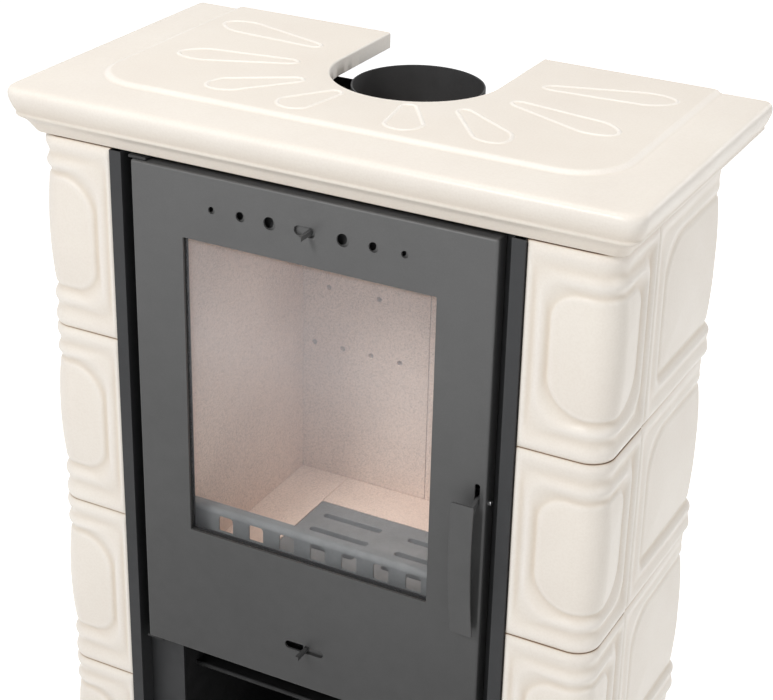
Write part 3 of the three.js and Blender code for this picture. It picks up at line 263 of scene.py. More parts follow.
def lining_material():
    """Pressed mineral board: matt, pinkish beige, speckled with flakes and faintly dented."""
    m = Nodes("fire_lining")
    base = m.ramp(m.noise(14, 4.0, 0.6), [(0.25, (0.76, 0.60, 0.50)), (0.75, (0.83, 0.67, 0.565))])
    flakes = m.ramp(m.noise(520, 3.0, 0.7), [(0.36, (0.72, 0.71, 0.70)), (0.5, (1.0, 1.0, 1.0)),
                                            (0.68, (1.08, 1.07, 1.06))])
    grain = m.bump(m.noise(700, 3.0, 0.6), 0.12, 0.6)
    dents = m.bump(m.noise(90, 2.0), 0.14, 0.3, after=grain)
    roughness = m.ramp(m.noise(80), [(0.3, 0.85), (0.7, 0.97)])
    return m.finish(m.mix(1.0, base, flakes, "MULTIPLY"), roughness, dents)


def iron_material():
    """Rough grey cast iron with sandy grain."""
    m = Nodes("grate_iron")
    base = m.ramp(m.noise(25, 4.0, 0.6), [(0.3, (0.165, 0.172, 0.173)), (0.7, (0.23, 0.24, 0.24))])
    sand = m.bump(m.noise(650, 3.0, 0.7), 0.05, 0.5)
    return m.finish(base, m.ramp(m.noise(120), [(0.3, 0.62), (0.7, 0.78)]), sand, Metallic=0.2)


def zinc_material():
    """Dull zinc-coated sheet with soft crystalline patches."""
    m = Nodes("zinc_sheet")
    cells = m.add("ShaderNodeTexVoronoi")
    cells.inputs["Scale"].default_value = 90
    m.link(m.where, cells.inputs["Vector"])
    base = m.ramp(cells.outputs["Distance"], [(0.1, (0.44, 0.45, 0.46)), (0.8, (0.56, 0.57, 0.58))])
    return m.finish(base, m.ramp(m.noise(50), [(0.3, 0.32), (0.7, 0.48)]), Metallic=0.85)


def glass_material():
    """Clear heat-proof glass with a pale bluish veil, thicker towards the top: a painted reflection of the
    studio.
    """
    m = Nodes("window_glass")
    # Painted reflection: a pale veil laid over the glass, by height.
    reflection_tint = m.ramp(m.noise(5, 3.0), [(0.35, (0.80, 0.82, 0.88)), (0.65, (0.88, 0.89, 0.94))])
    smear = m.ramp(m.noise(12, 3.0), [(0.3, 0.03), (0.7, 0.09)])
    reflection_by_height = m.ramp(m.height(), [(0.50, 0.03), (0.62, 0.09), (0.74, 0.15), (0.87, 0.11)])
    m.link(reflection_by_height, m.shader.inputs["Alpha"])
    return m.finish(reflection_tint, smear)


def rope_material():
    """Black braided fibre rope: a fine diagonal braid."""
    m = Nodes("seal_rope")
    braid = m.add("ShaderNodeTexWave", wave_type="BANDS", bands_direction="DIAGONAL")
    braid.inputs["Scale"].default_value = 160
    braid.inputs["Distortion"].default_value = 2.0
    m.link(m.where, braid.inputs["Vector"])
    base = m.ramp(braid.outputs["Fac"], [(0.2, (0.006, 0.006, 0.006)), (0.8, (0.02, 0.02, 0.02))])
    roughness = m.ramp(m.noise(200), [(0.3, 0.85), (0.7, 1.0)])
    return m.finish(base, roughness, m.bump(braid.outputs["Fac"], 0.6, 0.8))


def bright_material():
    """Bare turned steel with fine turning marks."""
    m = Nodes("bright_steel")
    marks = m.noise(1500, 2.0, 0.5, m.stretched((4.0, 0.3, 0.3)))
    base = m.ramp(marks, [(0.3, (0.30, 0.30, 0.30)), (0.7, (0.40, 0.40, 0.40))])
    return m.finish(base, m.ramp(marks, [(0.3, 0.25), (0.7, 0.4)]), m.bump(marks, 0.02, 0.5), Metallic=0.95)


MATERIALS = {
    "ceramic_glaze": ceramic_material(),
    # Each paint's last list is its painted shade by height: (height in metres, brightness).
    "door_paint": paint_material("door_paint", (0.123, 0.123, 0.123), 0.05, (0.42, 0.55),
                                 [(0.33, 0.44), (0.6, 0.67), (0.92, 1.0)]),
    "trim_paint": paint_material("trim_paint", (0.043, 0.044, 0.046), 0.08, (0.42, 0.55),
                                 [(0.33, 0.65), (0.92, 1.0)]),
    "black_steel": paint_material("black_steel", (0.052, 0.052, 0.053), 0.15, (0.5, 0.7),
                                  [(0.5, 0.35), (0.95, 1.0)]),
    "fire_lining": lining_material(),
    "grate_iron": iron_material(),
    "zinc_sheet": zinc_material(),
    "window_glass": glass_material(),
    "seal_rope": rope_material(),
    "bright_steel": bright_material(),
}

# ---------------------------------------------------------------- mesh helpers


def add_piece(name, points, faces, body, slot, replaced=(), smooth=38, relief=None, flat=True):
    """Makes a piece from points in millimetres, on a body, with the finish of a material slot."""
    mesh = bpy.data.meshes.new(name)
    mesh.from_pydata([tuple(p) for p in np.asarray(points, dtype=float) * MM], [], faces)
    if slot == "ceramic_glaze":
        # The relief attribute sets the glaze's colour, painted shade and painted highlight included.
        values = np.full(len(points), 0.7) if relief is None else np.asarray(relief)
        mesh.attributes.new("relief", "FLOAT", "POINT").data.foreach_set("value", values.astype(np.float32))
    face_out(mesh)
    mesh.shade_smooth()
    mesh.set_sharp_from_angle(angle=math.radians(smooth))
    mesh.materials.append(MATERIALS[slot])
    piece = bpy.data.objects.new(name, mesh)
    bpy.context.scene.collection.objects.link(piece)
    if flat:
        piece.modifiers.new("flat_faces", "WEIGHTED_NORMAL").keep_sharp = True
    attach(piece, body)
    if replaced:
        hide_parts(*replaced)
    return piece


def face_out(mesh):
    """Makes all faces point outwards."""
    work = bmesh.new()
    work.from_mesh(mesh)
    bmesh.ops.recalc_face_normals(work, faces=work.faces)
    work.to_mesh(mesh)
    work.free()


def loft(rings, closed=False):
    """Points and faces through rings of equal length; end caps unless the last ring joins the first."""
    count = len(rings[0])
    points = [p for ring in rings for p in ring]
    faces = []
    for band in range(len(rings) if closed else len(rings) - 1):
        near = band * count
        far = (band + 1) % len(rings) * count
        faces += [(near + i, near + (i + 1) % count, far + (i + 1) % count, far + i) for i in range(count)]
    if not closed:
        last = (len(rings) - 1) * count
        faces += [tuple(range(count)), tuple(range(last, last + count))]
    return points, faces


def merged(*parts):
    """Several (points, faces) as one."""
    points, faces = [], []
    for more_points, more_faces in parts:
        start = len(points)
        points += list(more_points)
        faces += [tuple(start + i for i in face) for face in more_faces]
    return points, faces


def on_axis(axis, u, v, w):
    """A point from two coordinates in a plane and one along the axis across it."""
    return {"x": (w, u, v), "y": (u, w, v), "z": (u, v, w)}[axis]


class Contour:
    """A rounded rectangle in a plane, drawn back into a sheet's material by an offset."""

    def __init__(self, u, v, radii=0.5, hole=True, steps=6):
        self.u, self.v, self.hole, self.steps = u, v, hole, steps
        self.radii = radii if isinstance(radii, (list, tuple)) else [radii] * 4

    @classmethod
    def circle(cls, u, v, radius, hole=True):
        return cls((u - radius, u + radius), (v - radius, v + radius), radius, hole, 8)

    def points(self, offset):
        """Counter-clockwise points; radii are for the corners from the high one round."""
        grow = offset if self.hole else -offset
        u0, u1, v0, v1 = self.u[0] - grow, self.u[1] + grow, self.v[0] - grow, self.v[1] + grow
        signs = ((1, 1), (-1, 1), (-1, -1), (1, -1))
        found = []
        for quarter, ((su, sv), radius) in enumerate(zip(signs, self.radii)):
            r = max(radius + grow, 0.02)
            cu = (u1 - r) if su > 0 else (u0 + r)
            cv = (v1 - r) if sv > 0 else (v0 + r)
            for i in range(self.steps + 1):
                angle = math.pi / 2 * (quarter + i / self.steps)
                found.append((cu + r * math.cos(angle), cv + r * math.sin(angle)))
        return found


def rounded_edge(start, end, radius, steps=4):
    """A sheet edge's profile, (offset, level) from one face to the other, with rounded arrises."""
    way = 1 if end > start else -1
    turns = [math.pi / 2 * i / steps for i in range(steps + 1)]
    first = [(radius * (1 - math.sin(a)), start + way * radius * (1 - math.cos(a))) for a in turns]
    return first + [(offset, start + end - level) for offset, level in reversed(first)]


def sheet(axis, outline, outline_profile, holes=(), hole_profile=None):
    """A sheet with holes: every contour is swept along its profile, and both faces are filled."""
    swept = [(outline, outline_profile)] + [(hole, hole_profile) for hole in holes]
    points, faces, caps = [], [], [[], []]
    for contour, profile in swept:
        start = len(points)
        rings = [[on_axis(axis, u, v, level) for u, v in contour.points(offset)] for offset, level in profile]
        count = len(rings[0])
        points += [p for ring in rings for p in ring]
        for band in range(len(rings) - 1):
            near = start + band * count
            faces += [(near + i, near + (i + 1) % count, near + count + (i + 1) % count, near + count + i)
                      for i in range(count)]
        for cap, ring in zip(caps, (0, len(rings) - 1)):
            cap.append([start + ring * count + i for i in range(count)])
    for cap in caps:
        loops = [[Vector(points[i]) for i in loop] for loop in cap]
        flat = [i for loop in cap for i in loop]
        faces += [tuple(flat[i] for i in triangle) for triangle in tessellate_polygon(loops)]
    return points, faces


def soften(node, body, slot, arris=0.4, rounds=2, smooth=38):
    """A CAD node redrawn with its arrises rounded."""
    work = bmesh.new()
    work.from_mesh(NODES[node].data)
    bmesh.ops.remove_doubles(work, verts=work.verts, dist=1e-6)
    bmesh.ops.dissolve_limit(work, angle_limit=math.radians(0.5), verts=work.verts, edges=work.edges)
    sharp = [e for e in work.edges if len(e.link_faces) == 2 and e.calc_face_angle() > math.radians(50)]
    bmesh.ops.bevel(work, geom=sharp, offset=arris * MM, segments=rounds, profile=0.6, affect="EDGES",
                    clamp_overlap=True)
    points = [tuple(v.co / MM) for v in work.verts]
    work.verts.index_update()
    faces = [tuple(v.index for v in f.verts) for f in work.faces]
    work.free()
    return add_piece(f"{node}_finished", points, faces, body, slot, (node,), smooth)


# ---------------------------------------------------------------- tiles

# Rings of a tile's relief, from its edge inwards: margins from the front, rear, top and bottom edge,
# then corner radii and heights at the front top, rear top, rear bottom and front bottom. Heights are
# over the ring's face.
CORNER_RELIEF = [
    ((0, 0, 0, 0), (3, 3, 3, 3), (-2.6, -3, -3.5, -3)),
    ((4, 5, 8, 9), (6, 6, 6, 6), (-0.4, -0.4, 0, 0)),
    ((9, 14, 23, 22), (14, 12, 16, 18), (-2.4, -5.2, -5.0, -2.2)),
    ((17, 24, 34, 33), (22, 16, 30, 34), (-0.2, -0.5, -0.2, 0.2)),
    ((26, 34, 47, 44), (30, 20, 42, 44), (-4.4, -5.0, -5.0, -4.6)),
    ((30, 38, 52, 49), (27, 18, 39, 41), (-2.0, -2.3, -2.3, -2.0)),
    ((45, 53, 75, 72), (18, 14, 26, 28), (0.2, 0.2, 0.2, 0.2)),
]
SIDE_RELIEF = [
    ((0, 0, 0, 0), (3, 3, 3, 3), (-4, -7.5, -5, -4)),
    ((6, 5, 8, 9), (6, 6, 6, 6), (-1.5, -7.3, 0, -0.5)),
    ((16, 12, 18, 22), (18, 14, 16, 12), (-4, -7.3, -1.8, -2.5)),
    ((27, 18, 26, 31), (36, 20, 26, 12), (-2.5, -7.3, 0, -0.6)),
    ((39, 24, 35, 41), (50, 26, 34, 12), (-5.9, -8.2, -6.4, -5.8)),
    ((45, 28, 41, 47), (45, 24, 30, 12), (-4.0, -6.2, -4.9, -4.0)),
    ((64, 40, 62, 68), (30, 16, 20, 10), (-2.2, -4.2, -3.6, -2.6)),
]
CREST = 1.4                     # the innermost panel's dome
RING_SEARCH = 22                # halvings that find a point's place between two rings
FIRST_SLOPE = 1.8               # slope at the tile's edge, over that of a straight step
LAST_SLOPE = 0.7
# The glaze's colour from the relief: painted shade and pooled glaze in a groove, painted highlight on a
# crest.
POOL_AND_SHADE_ROUNDS = 8                # how far the blur reaches that sets a groove's and a crest's colour, in grid steps
GLAZE_SHADE_CONTRAST = 0.3            # change of colour for each millimetre over its surroundings: painted highlight on a crest, painted shade and pooled glaze in a groove
GLAZE_PLAIN = 0.7
GROOVE_POOL_AND_SHADE = 0.2
GLAZE_EDGE = 0.12               # bare brown body at a tile's upright edges
UNEVEN = 0.25                   # how far the hand-pressed faces wander


class TilePath:
    """A straight run, a quarter round the ring's corner and a straight run, along the tile faces."""

    def __init__(self, run_in, run_out, start_angle, centre):
        self.run_in, self.start, self.centre = run_in, start_angle, centre
        self.length = run_in + RING_R * math.pi / 2 + run_out

    def place(self, s, raised):
        turned = np.clip((s - self.run_in) / RING_R, 0, math.pi / 2)
        angle = self.start + turned
        run = s - self.run_in - RING_R * turned
        x = self.centre[0] + (RING_R + raised) * np.cos(angle) - run * np.sin(angle)
        y = self.centre[1] + (RING_R + raised) * np.sin(angle) + run * np.cos(angle)
        return x, y


def box_distance(s, z, lows, highs, radii):
    """Signed distance to a rounded rectangle, negative inside; the arguments may be arrays."""
    (s0, z0), (s1, z1) = lows, highs
    front, lower = s < (s0 + s1) / 2, z < (z0 + z1) / 2
    front_top, rear_top, rear_low, front_low = radii
    r = np.where(front, np.where(lower, front_low, front_top), np.where(lower, rear_low, rear_top))
    qs = np.abs(s - (s0 + s1) / 2) - (s1 - s0) / 2 + r
    qz = np.abs(z - (z0 + z1) / 2) - (z1 - z0) / 2 + r
    outside = np.hypot(np.maximum(qs, 0), np.maximum(qz, 0))
    return outside + np.minimum(np.maximum(qs, qz), 0) - r


def spread_level(heights, along, up):
    """A ring's height at a place on the tile, from its heights at the four corners."""
    front_top, rear_top, rear_low, front_low = heights
    top = front_top + (rear_top - front_top) * along
    bottom = front_low + (rear_low - front_low) * along
    return bottom + (top - bottom) * up


def relief_height(s, z, length, height, rings):
    """The relief over the border's crest, smooth through every ring's height."""
    margins = np.array([ring[0] for ring in rings], dtype=float)
    radii = np.array([ring[1] for ring in rings], dtype=float)
    last = len(rings) - 1

    def distance(t):
        i = np.minimum(t.astype(int), last - 1)
        share = (t - i)[..., None]
        m = margins[i] * (1 - share) + margins[i + 1] * share
        r = radii[i] * (1 - share) + radii[i + 1] * share
        lows = (m[..., 0], m[..., 3])
        highs = (length - m[..., 1], height - m[..., 2])
        return box_distance(s, z, lows, highs, [r[..., k] for k in range(4)])

    outer, inner = np.zeros_like(s), np.full_like(s, float(last))
    for _ in range(RING_SEARCH):
        middle = (outer + inner) / 2
        inside = distance(middle) < 0
        outer = np.where(inside, middle, outer)
        inner = np.where(inside, inner, middle)
    t = (outer + inner) / 2

    levels = np.array([spread_level(ring[2], s / length, z / height) for ring in rings])
    steps = np.diff(levels, axis=0)
    slopes = np.zeros_like(levels)
    product = steps[:-1] * steps[1:]
    total = steps[:-1] + steps[1:]
    slopes[1:-1] = np.where(product > 0, 2 * product / np.where(product > 0, total, 1), 0)
    slopes[0], slopes[last] = FIRST_SLOPE * steps[0], LAST_SLOPE * steps[-1]
    i = np.minimum(t.astype(int), last - 1)
    x = t - i
    near, far, near_slope, far_slope = (np.take_along_axis(grid, index[None], 0)[0] for grid, index in
                                        ((levels, i), (levels, i + 1), (slopes, i), (slopes, i + 1)))
    raised = (near * (1 + 2 * x) * (1 - x) ** 2 + near_slope * x * (1 - x) ** 2
              + far * x * x * (3 - 2 * x) + far_slope * x * x * (x - 1))
    inward = np.maximum(-distance(np.full_like(s, float(last))), 0)
    dome = 1 - (1 - inward / inward.max()) ** 2
    return raised + CREST * dome


def glaze_pool_and_shade(raised):
    """The relief's colour level: low where a groove holds pooled glaze and painted shade, up to 1 on a crest
    with a painted highlight.
    """
    level = raised
    for _ in range(POOL_AND_SHADE_ROUNDS):
        wide = np.pad(level, 1, mode="edge")
        level = (wide[:-2, 1:-1] + wide[2:, 1:-1] + wide[1:-1, :-2] + wide[1:-1, 2:]) / 4
    return np.clip(GLAZE_PLAIN + GLAZE_SHADE_CONTRAST * (raised - level), GROOVE_POOL_AND_SHADE, 1)


def tile_piece(node, path, rings, side, foot, row):
    """A glazed tile: a fine relief grid in front, edges turned back and a plain back.

    The left tiles are the right ones turned upside down.
    """
    height = high(node)[2] - foot
    columns = round(path.length / TILE_STEP)
    rows = round(height / TILE_STEP)
    along, up = np.linspace(0, path.length, columns + 1), np.linspace(0, height, rows + 1)
    s, z = np.meshgrid(along, up, indexing="ij")
    pattern_z = z if side > 0 else height - z
    raised = relief_height(s, pattern_z, path.length, height, rings)
    wander = UNEVEN * np.sin(s / 31 + 2.1 * row + side) * np.sin(z / 37 + 1.3 * row)
    # Painted shade and pooled glaze in the grooves, painted highlight on the crests, as a colour level.
    relief = glaze_pool_and_shade(raised)
    relief[(0, -1), :] = GLAZE_EDGE
    relief[:, (0, -1)] = 0
    x, y = path.place(s, raised + wander)
    x_back, y_back = path.place(s[:, (0, -1)], -TILE_T)
    front = np.stack([side * x, y, z + foot], axis=-1).reshape(-1, 3)
    across = rows + 1
    grid = np.arange((columns + 1) * across).reshape(columns + 1, across)
    quads = np.stack([grid[:-1, :-1], grid[1:, :-1], grid[1:, 1:], grid[:-1, 1:]], axis=-1)
    faces = quads.reshape(-1, 4).tolist()
    # The back has the same columns and, at both ends, the same rows, so that the edges close.
    side_x, side_y = path.place(s[(0, -1), 1:-1], -TILE_T)
    back = np.concatenate([
        np.stack([side * x_back, y_back, z[:, (0, -1)] + foot], axis=-1).reshape(-1, 3),
        np.stack([side * side_x, side_y, z[(0, -1), 1:-1] + foot], axis=-1).reshape(-1, 3),
    ])
    start = len(front)
    bottom = [start + 2 * i for i in range(columns + 1)]
    top = [start + 2 * i + 1 for i in range(columns + 1)]
    ends_start = start + 2 * (columns + 1)
    near_end = [bottom[0], *range(ends_start, ends_start + rows - 1), top[0]]
    far_end = [bottom[-1], *range(ends_start + rows - 1, ends_start + 2 * (rows - 1)), top[-1]]
    for i in range(columns):
        faces.append((grid[i, 0], grid[i + 1, 0], bottom[i + 1], bottom[i]))
        faces.append((grid[i, -1], grid[i + 1, -1], top[i + 1], top[i]))
        if 0 < i < columns - 1:
            faces.append((bottom[i], bottom[i + 1], top[i + 1], top[i]))
    for j in range(rows):
        faces.append((grid[0, j], grid[0, j + 1], near_end[j + 1], near_end[j]))
        faces.append((grid[-1, j], grid[-1, j + 1], far_end[j + 1], far_end[j]))
    faces.append((*near_end, top[1], bottom[1]))
    faces.append((*far_end, top[-2], bottom[-2]))
    shades = np.concatenate([relief.reshape(-1), np.full(len(back), 0.1)])
    faces = [tuple(int(i) for i in face) for face in faces]
    add_piece(f"{node}_glazed", np.concatenate([front, back]), faces, "root", "ceramic_glaze", (node,),
              55, shades, False)


def add_tiles():
    corner_start = low("corner_tile_right_1")[0]
    side_end = low("side_tile_right_1")[0]
    joint = high("corner_tile_right_1")[1]
    side_start = low("side_tile_right_1")[1]
    corner = TilePath(RING_HALF - RING_R - corner_start, joint - RING_FRONT - RING_R, -math.pi / 2,
                      (RING_HALF - RING_R, RING_FRONT + RING_R))
    flank = TilePath(RING_BACK - RING_R - side_start, RING_HALF - RING_R - side_end, 0.0,
                     (RING_HALF - RING_R, RING_BACK - RING_R))
    for name, side in (("left", -1), ("right", 1)):
        for row in range(1, 5):
            for kind, path, rings in (("corner", corner, CORNER_RELIEF), ("side", flank, SIDE_RELIEF)):
                node = f"{kind}_tile_{name}_{row}"
                tile_piece(node, path, rings, side, low(node)[2], row)


# ---------------------------------------------------------------- top plate

# Cornice profile: overhang in front of the tiles, height above the plate's foot, plan corner radius.
CORNICE = [
    (1.6, 0.0, 14), (2.0, 0.6, 14), (3.0, 2.1, 14), (4.4, 4.6, 14.5), (6.0, 7.2, 15), (7.4, 9.8, 15),
    (9.0, 12.3, 15), (11.2, 14.9, 15.5), (14.2, 17.2, 16), (16.2, 18.6, 16), (17.4, 20.3, 16),
    (17.6, 21.8, 16), (17.2, 23.0, 16.5), (17.6, 24.2, 17), (18.8, 26.4, 17), (20.6, 30.2, 18),
    (22.4, 35.2, 19), (23.6, 39.4, 20), (24.0, 42.6, 20), (23.9, 45.4, 20), (23.2, 48.0, 20),
    (21.8, 50.0, 19), (19.8, 51.4, 18), (17.2, 52.1, 17), (13.5, CORNICE_H, 16), (8.0, CORNICE_H, 14),
]
# The raised panel's sloping edge: distance in from its foot, and height.
PANEL_EDGE = [
    (-6, 0.0), (-3.5, -0.25), (-1.5, -0.4), (0, -0.1), (2, 1.0), (4, 2.3), (6, 3.1), (8, 3.45),
    (11, PANEL_RISE),
]
# Petals: degrees from the front, distance of the near and far end from the flue's middle.
PETALS = ((22, 108, 194), (47.5, 127, 240), (74, 134, 279), (100.5, 139, 291))
PETAL_BEAD = 6.0                # width of the ridge
PETAL_RISE = 1.3
PETAL_W_IN, PETAL_W_OUT = 19, 47
PETAL_TIP, PETAL_WIDEST = 0.09, 0.75    # where the inner end has rounded out, and where it is widest
PETAL_STEPS = 34
BEAD_STEPS = 8
BEAD_ROOT = 0.6                 # how deep the ridge is rooted in the panel
# The plate's colour by height over its foot: darker in the cove under the nosing, at the foot and on the flat
# panel, paler on the nosing, the panel's slope and the petals' ridges; painted shade and painted highlight,
# with glaze pooled in the cove.
PLATE_SHADE_BY_HEIGHT = ((0, 0.45), (22, 0.62), (24, 0.4), (46, 0.9), (CORNICE_H, 0.62), (CORNICE_H + 0.6, 0.9),
               (CORNICE_H + PANEL_RISE - 0.6, 0.9), (CORNICE_H + PANEL_RISE, 0.55),
               (CORNICE_H + PANEL_RISE + 0.6, 0.95))


def open_outline(half, front, radius, z, side_steps=26, corner_steps=12, front_steps=48):
    """From the back left corner round the front to the back right corner."""
    left = [(-half, y) for y in np.linspace(PLATE_BACK, front + radius, side_steps, endpoint=False)]
    corner = [(-half + radius * (1 - math.cos(a)), front + radius * (1 - math.sin(a)))
              for a in np.linspace(0, math.pi / 2, corner_steps, endpoint=False)]
    middle = [(x, front) for x in np.linspace(-half + radius, 0, front_steps // 2, endpoint=False)]
    found = left + corner + middle
    found = found + [(0.0, front)] + [(-x, y) for x, y in reversed(found)]
    return [(x, y, z) for x, y in found]


def notch_outline(radius, z, count):
    """The notch's edge in the same sense as the outline, with as many points, evenly spaced."""
    straight = PLATE_BACK - FLUE_Y
    total = 2 * straight + math.pi * radius
    found = []
    for i in range(count):
        run = total * i / (count - 1)
        if run < straight:
            found.append((-radius, PLATE_BACK - run, z))
        elif run > total - straight:
            found.append((radius, PLATE_BACK - (total - run), z))
        else:
            angle = math.pi + (run - straight) / radius
            found.append((radius * math.cos(angle), FLUE_Y + radius * math.sin(angle), z))
    return found


def petal_half_width(share):
    """Half a petal's width at a share of its length: a drop, round at both ends."""
    body = PETAL_W_IN + (PETAL_W_OUT - PETAL_W_IN) * min(share / PETAL_WIDEST, 1)
    near = (PETAL_TIP - share) / PETAL_TIP if share < PETAL_TIP else 0
    far = (share - PETAL_WIDEST) / (1 - PETAL_WIDEST) if share > PETAL_WIDEST else 0
    return body / 2 * max(1 - near ** 2 - far ** 1.7, 0) ** 0.5


def petal_bead(degrees, near, far, panel_top):
    """The soft ridge round a petal, lying on the raised panel."""
    angle = math.radians(degrees)
    shares = (1 - np.cos(np.linspace(0, math.pi, PETAL_STEPS))) / 2
    right = [(near + share * (far - near), petal_half_width(share)) for share in shares]
    loop = np.array(right + [(along, -across) for along, across in reversed(right[1:-1])])
    ahead = np.roll(loop, -1, axis=0) - np.roll(loop, 1, axis=0)
    ahead /= np.linalg.norm(ahead, axis=1)[:, None]
    inward = np.stack([ahead[:, 1], -ahead[:, 0]], axis=1)
    rings = []
    for i in range(BEAD_STEPS + 1):
        across = i / BEAD_STEPS
        level = panel_top + PETAL_RISE * 0.5 * (1 - math.cos(2 * math.pi * across)) + 0.02
        drawn = loop + inward * PETAL_BEAD * across
        rings.append([(a * math.sin(angle) + c * math.cos(angle),
                       FLUE_Y - a * math.cos(angle) + c * math.sin(angle), level) for a, c in drawn])
    under = panel_top - BEAD_ROOT
    rings.append([(x, y, under) for x, y, _ in rings[-1]])
    rings.append([(x, y, under) for x, y, _ in rings[0]])
    return loft(rings, closed=True)


def add_top_plate():
    """The plate: its cornice, raised panel, notch and hollow underside as one band, and the petals."""
    rings = [open_outline(RING_HALF + out, RING_FRONT - out, radius, PLATE_FOOT + up)
             for out, up, radius in CORNICE]
    for inset, up in PANEL_EDGE:
        rings.append(open_outline(RING_HALF - PANEL_SIDE - inset, RING_FRONT + PANEL_FRONT + inset,
                                  PANEL_R - inset, PLATE_TOP + up))
    panel_top = PLATE_TOP + PANEL_RISE
    count = len(rings[0])
    under = PLATE_TOP - PLATE_SLAB
    for step in range(5):
        turn = math.pi / 2 * step / 4
        rings.append(notch_outline(NOTCH_R + PLATE_ARRIS * (1 - math.sin(turn)),
                                   panel_top - PLATE_ARRIS * (1 - math.cos(turn)), count))
    rings.append(notch_outline(NOTCH_R, under + 1, count))
    rings.append(notch_outline(NOTCH_R + 1, under, count))
    lip_half, lip_front = RING_HALF - PLATE_LIP, RING_FRONT + PLATE_LIP
    rings.append(open_outline(lip_half - 2, lip_front + 2, 4, under))
    rings.append(open_outline(lip_half, lip_front, 5, under - 2))
    rings.append(open_outline(lip_half, lip_front, 5, PLATE_FOOT + 1))
    rings.append(open_outline(lip_half + 1, lip_front - 1, 6, PLATE_FOOT))
    points = [p for ring in rings for p in ring]
    faces = []
    for band in range(len(rings)):
        near, far = band * count, (band + 1) % len(rings) * count
        faces += [(near + i, near + i + 1, far + i + 1, far + i) for i in range(count - 1)]
    for end in (0, count - 1):
        faces.append(tuple(ring * count + end for ring in range(len(rings))))
    beads = [petal_bead(side * degrees, near, far, panel_top)
             for degrees, near, far in PETALS for side in (-1, 1)]
    points, faces = merged((points, faces), *beads)
    # Painted shade and painted highlight by height along the plate's profile.
    levels = np.array([p[2] for p in points]) - PLATE_FOOT
    relief = np.interp(levels, *zip(*PLATE_SHADE_BY_HEIGHT))
    add_piece("top_plate_glazed", points, faces, "root", "ceramic_glaze", ("top_plate",), 45, relief, False)


# ---------------------------------------------------------------- door


def slot_contour(along, middle, half):
    """A slot that runs along the door, with round ends."""
    return Contour(along, (middle - half, middle + half), half - SLOT_END)


def add_door_leaf():
    """The bent door sheet with its window, air holes and slots."""
    (x0, x1), (front, back), (bottom, top) = ranges("door_leaf")
    sheet_back = front + DOOR_SHEET
    outline = Contour((x0, x1), (bottom, top), DOOR_CORNER_R, hole=False)
    turns = [math.pi / 2 * i / 6 for i in range(7)]
    profile = [(DOOR_BEND * (1 - math.sin(a)), front + DOOR_BEND * (1 - math.cos(a))) for a in turns]
    profile += [(0, back - 0.5), (0.15, back - 0.15), (0.5, back), (DOOR_SHEET - 0.5, back),
                (DOOR_SHEET - 0.15, back - 0.15), (DOOR_SHEET, back - 0.5), (DOOR_SHEET, sheet_back)]
    glass_x, _, glass_z = ranges("window_glass")
    window_x, window_z = ((start + GLASS_LAP, end - GLASS_LAP) for start, end in (glass_x, glass_z))
    holes = [Contour(window_x, window_z, WINDOW_R)]
    for along, radius in AIR_HOLES:
        holes += [Contour.circle(side * along, top - AIR_DROP, radius) for side in (-1, 1)]
    holes.append(slot_contour(UPPER_SLOT, top - AIR_DROP, UPPER_SLOT_HALF))
    holes.append(slot_contour(LOWER_SLOT, bottom + LOWER_SLOT_RISE, LOWER_SLOT_HALF))
    handle_end = (HANDLE_SLOT[1] - HANDLE_SLOT[0]) / 2 - SLOT_END
    holes.append(Contour(HANDLE_SLOT, [top - drop for drop in HANDLE_SLOT_DROP], handle_end))
    points, faces = sheet("y", outline, profile, holes, rounded_edge(front, sheet_back, HOLE_ARRIS, 3))
    add_piece("door_leaf_painted", points, faces, "door", "door_paint", ("door_leaf",), 30)


def add_handle():
    """The blade: a strip with rounded edges, bowed between its ends."""
    (x0, x1), _, (bottom, top) = ranges("handle_blade")
    middle = (x0 + x1) / 2
    door_front = low("door_leaf")[1]
    out_top, out_middle, out_foot = BLADE_OUT
    section = Contour((x0, x1), (0, BLADE_T), BLADE_T / 2 - 0.1, hole=False, steps=4).points(0)
    rings = []
    for share in np.linspace(0, 1, 41):
        out = (2 * (share - 0.5) * (share - 1) * out_top + 4 * share * (1 - share) * out_middle
               + 2 * share * (share - 0.5) * out_foot)
        end = min(share, 1 - share) * (top - bottom)
        draw = 1 - max(0, BLADE_TAPER - end) * 0.5 / (x1 - x0)
        rings.append([(middle + (x - middle) * draw, door_front - out + depth, top - share * (top - bottom))
                      for x, depth in section])
    points, faces = loft(rings)
    add_piece("handle_blade_painted", points, faces, "handle", "door_paint", ("handle_blade",), 50)


def add_door():
    """Everything that rides on the door, and the handle and slides in it."""
    add_door_leaf()
    add_handle()
    for node in ("gasket_channel", "glass_frame", "latch_bracket", "air_channel"):
        soften(node, "door", "black_steel", 0.3)
    for node in ("door_gasket", "glass_gasket"):
        soften(node, "door", "seal_rope", 1.2, 3)
    soften("window_glass", "door", "window_glass", 0.6)
    soften("latch_pin", "door", "bright_steel", 0.4)
    soften("latch_lever", "handle", "door_paint", 0.5)
    soften("upper_air_slide", "upper_slide", "door_paint", 0.3)
    soften("lower_air_slide", "lower_slide", "door_paint", 0.3)


# ---------------------------------------------------------------- body and firebox


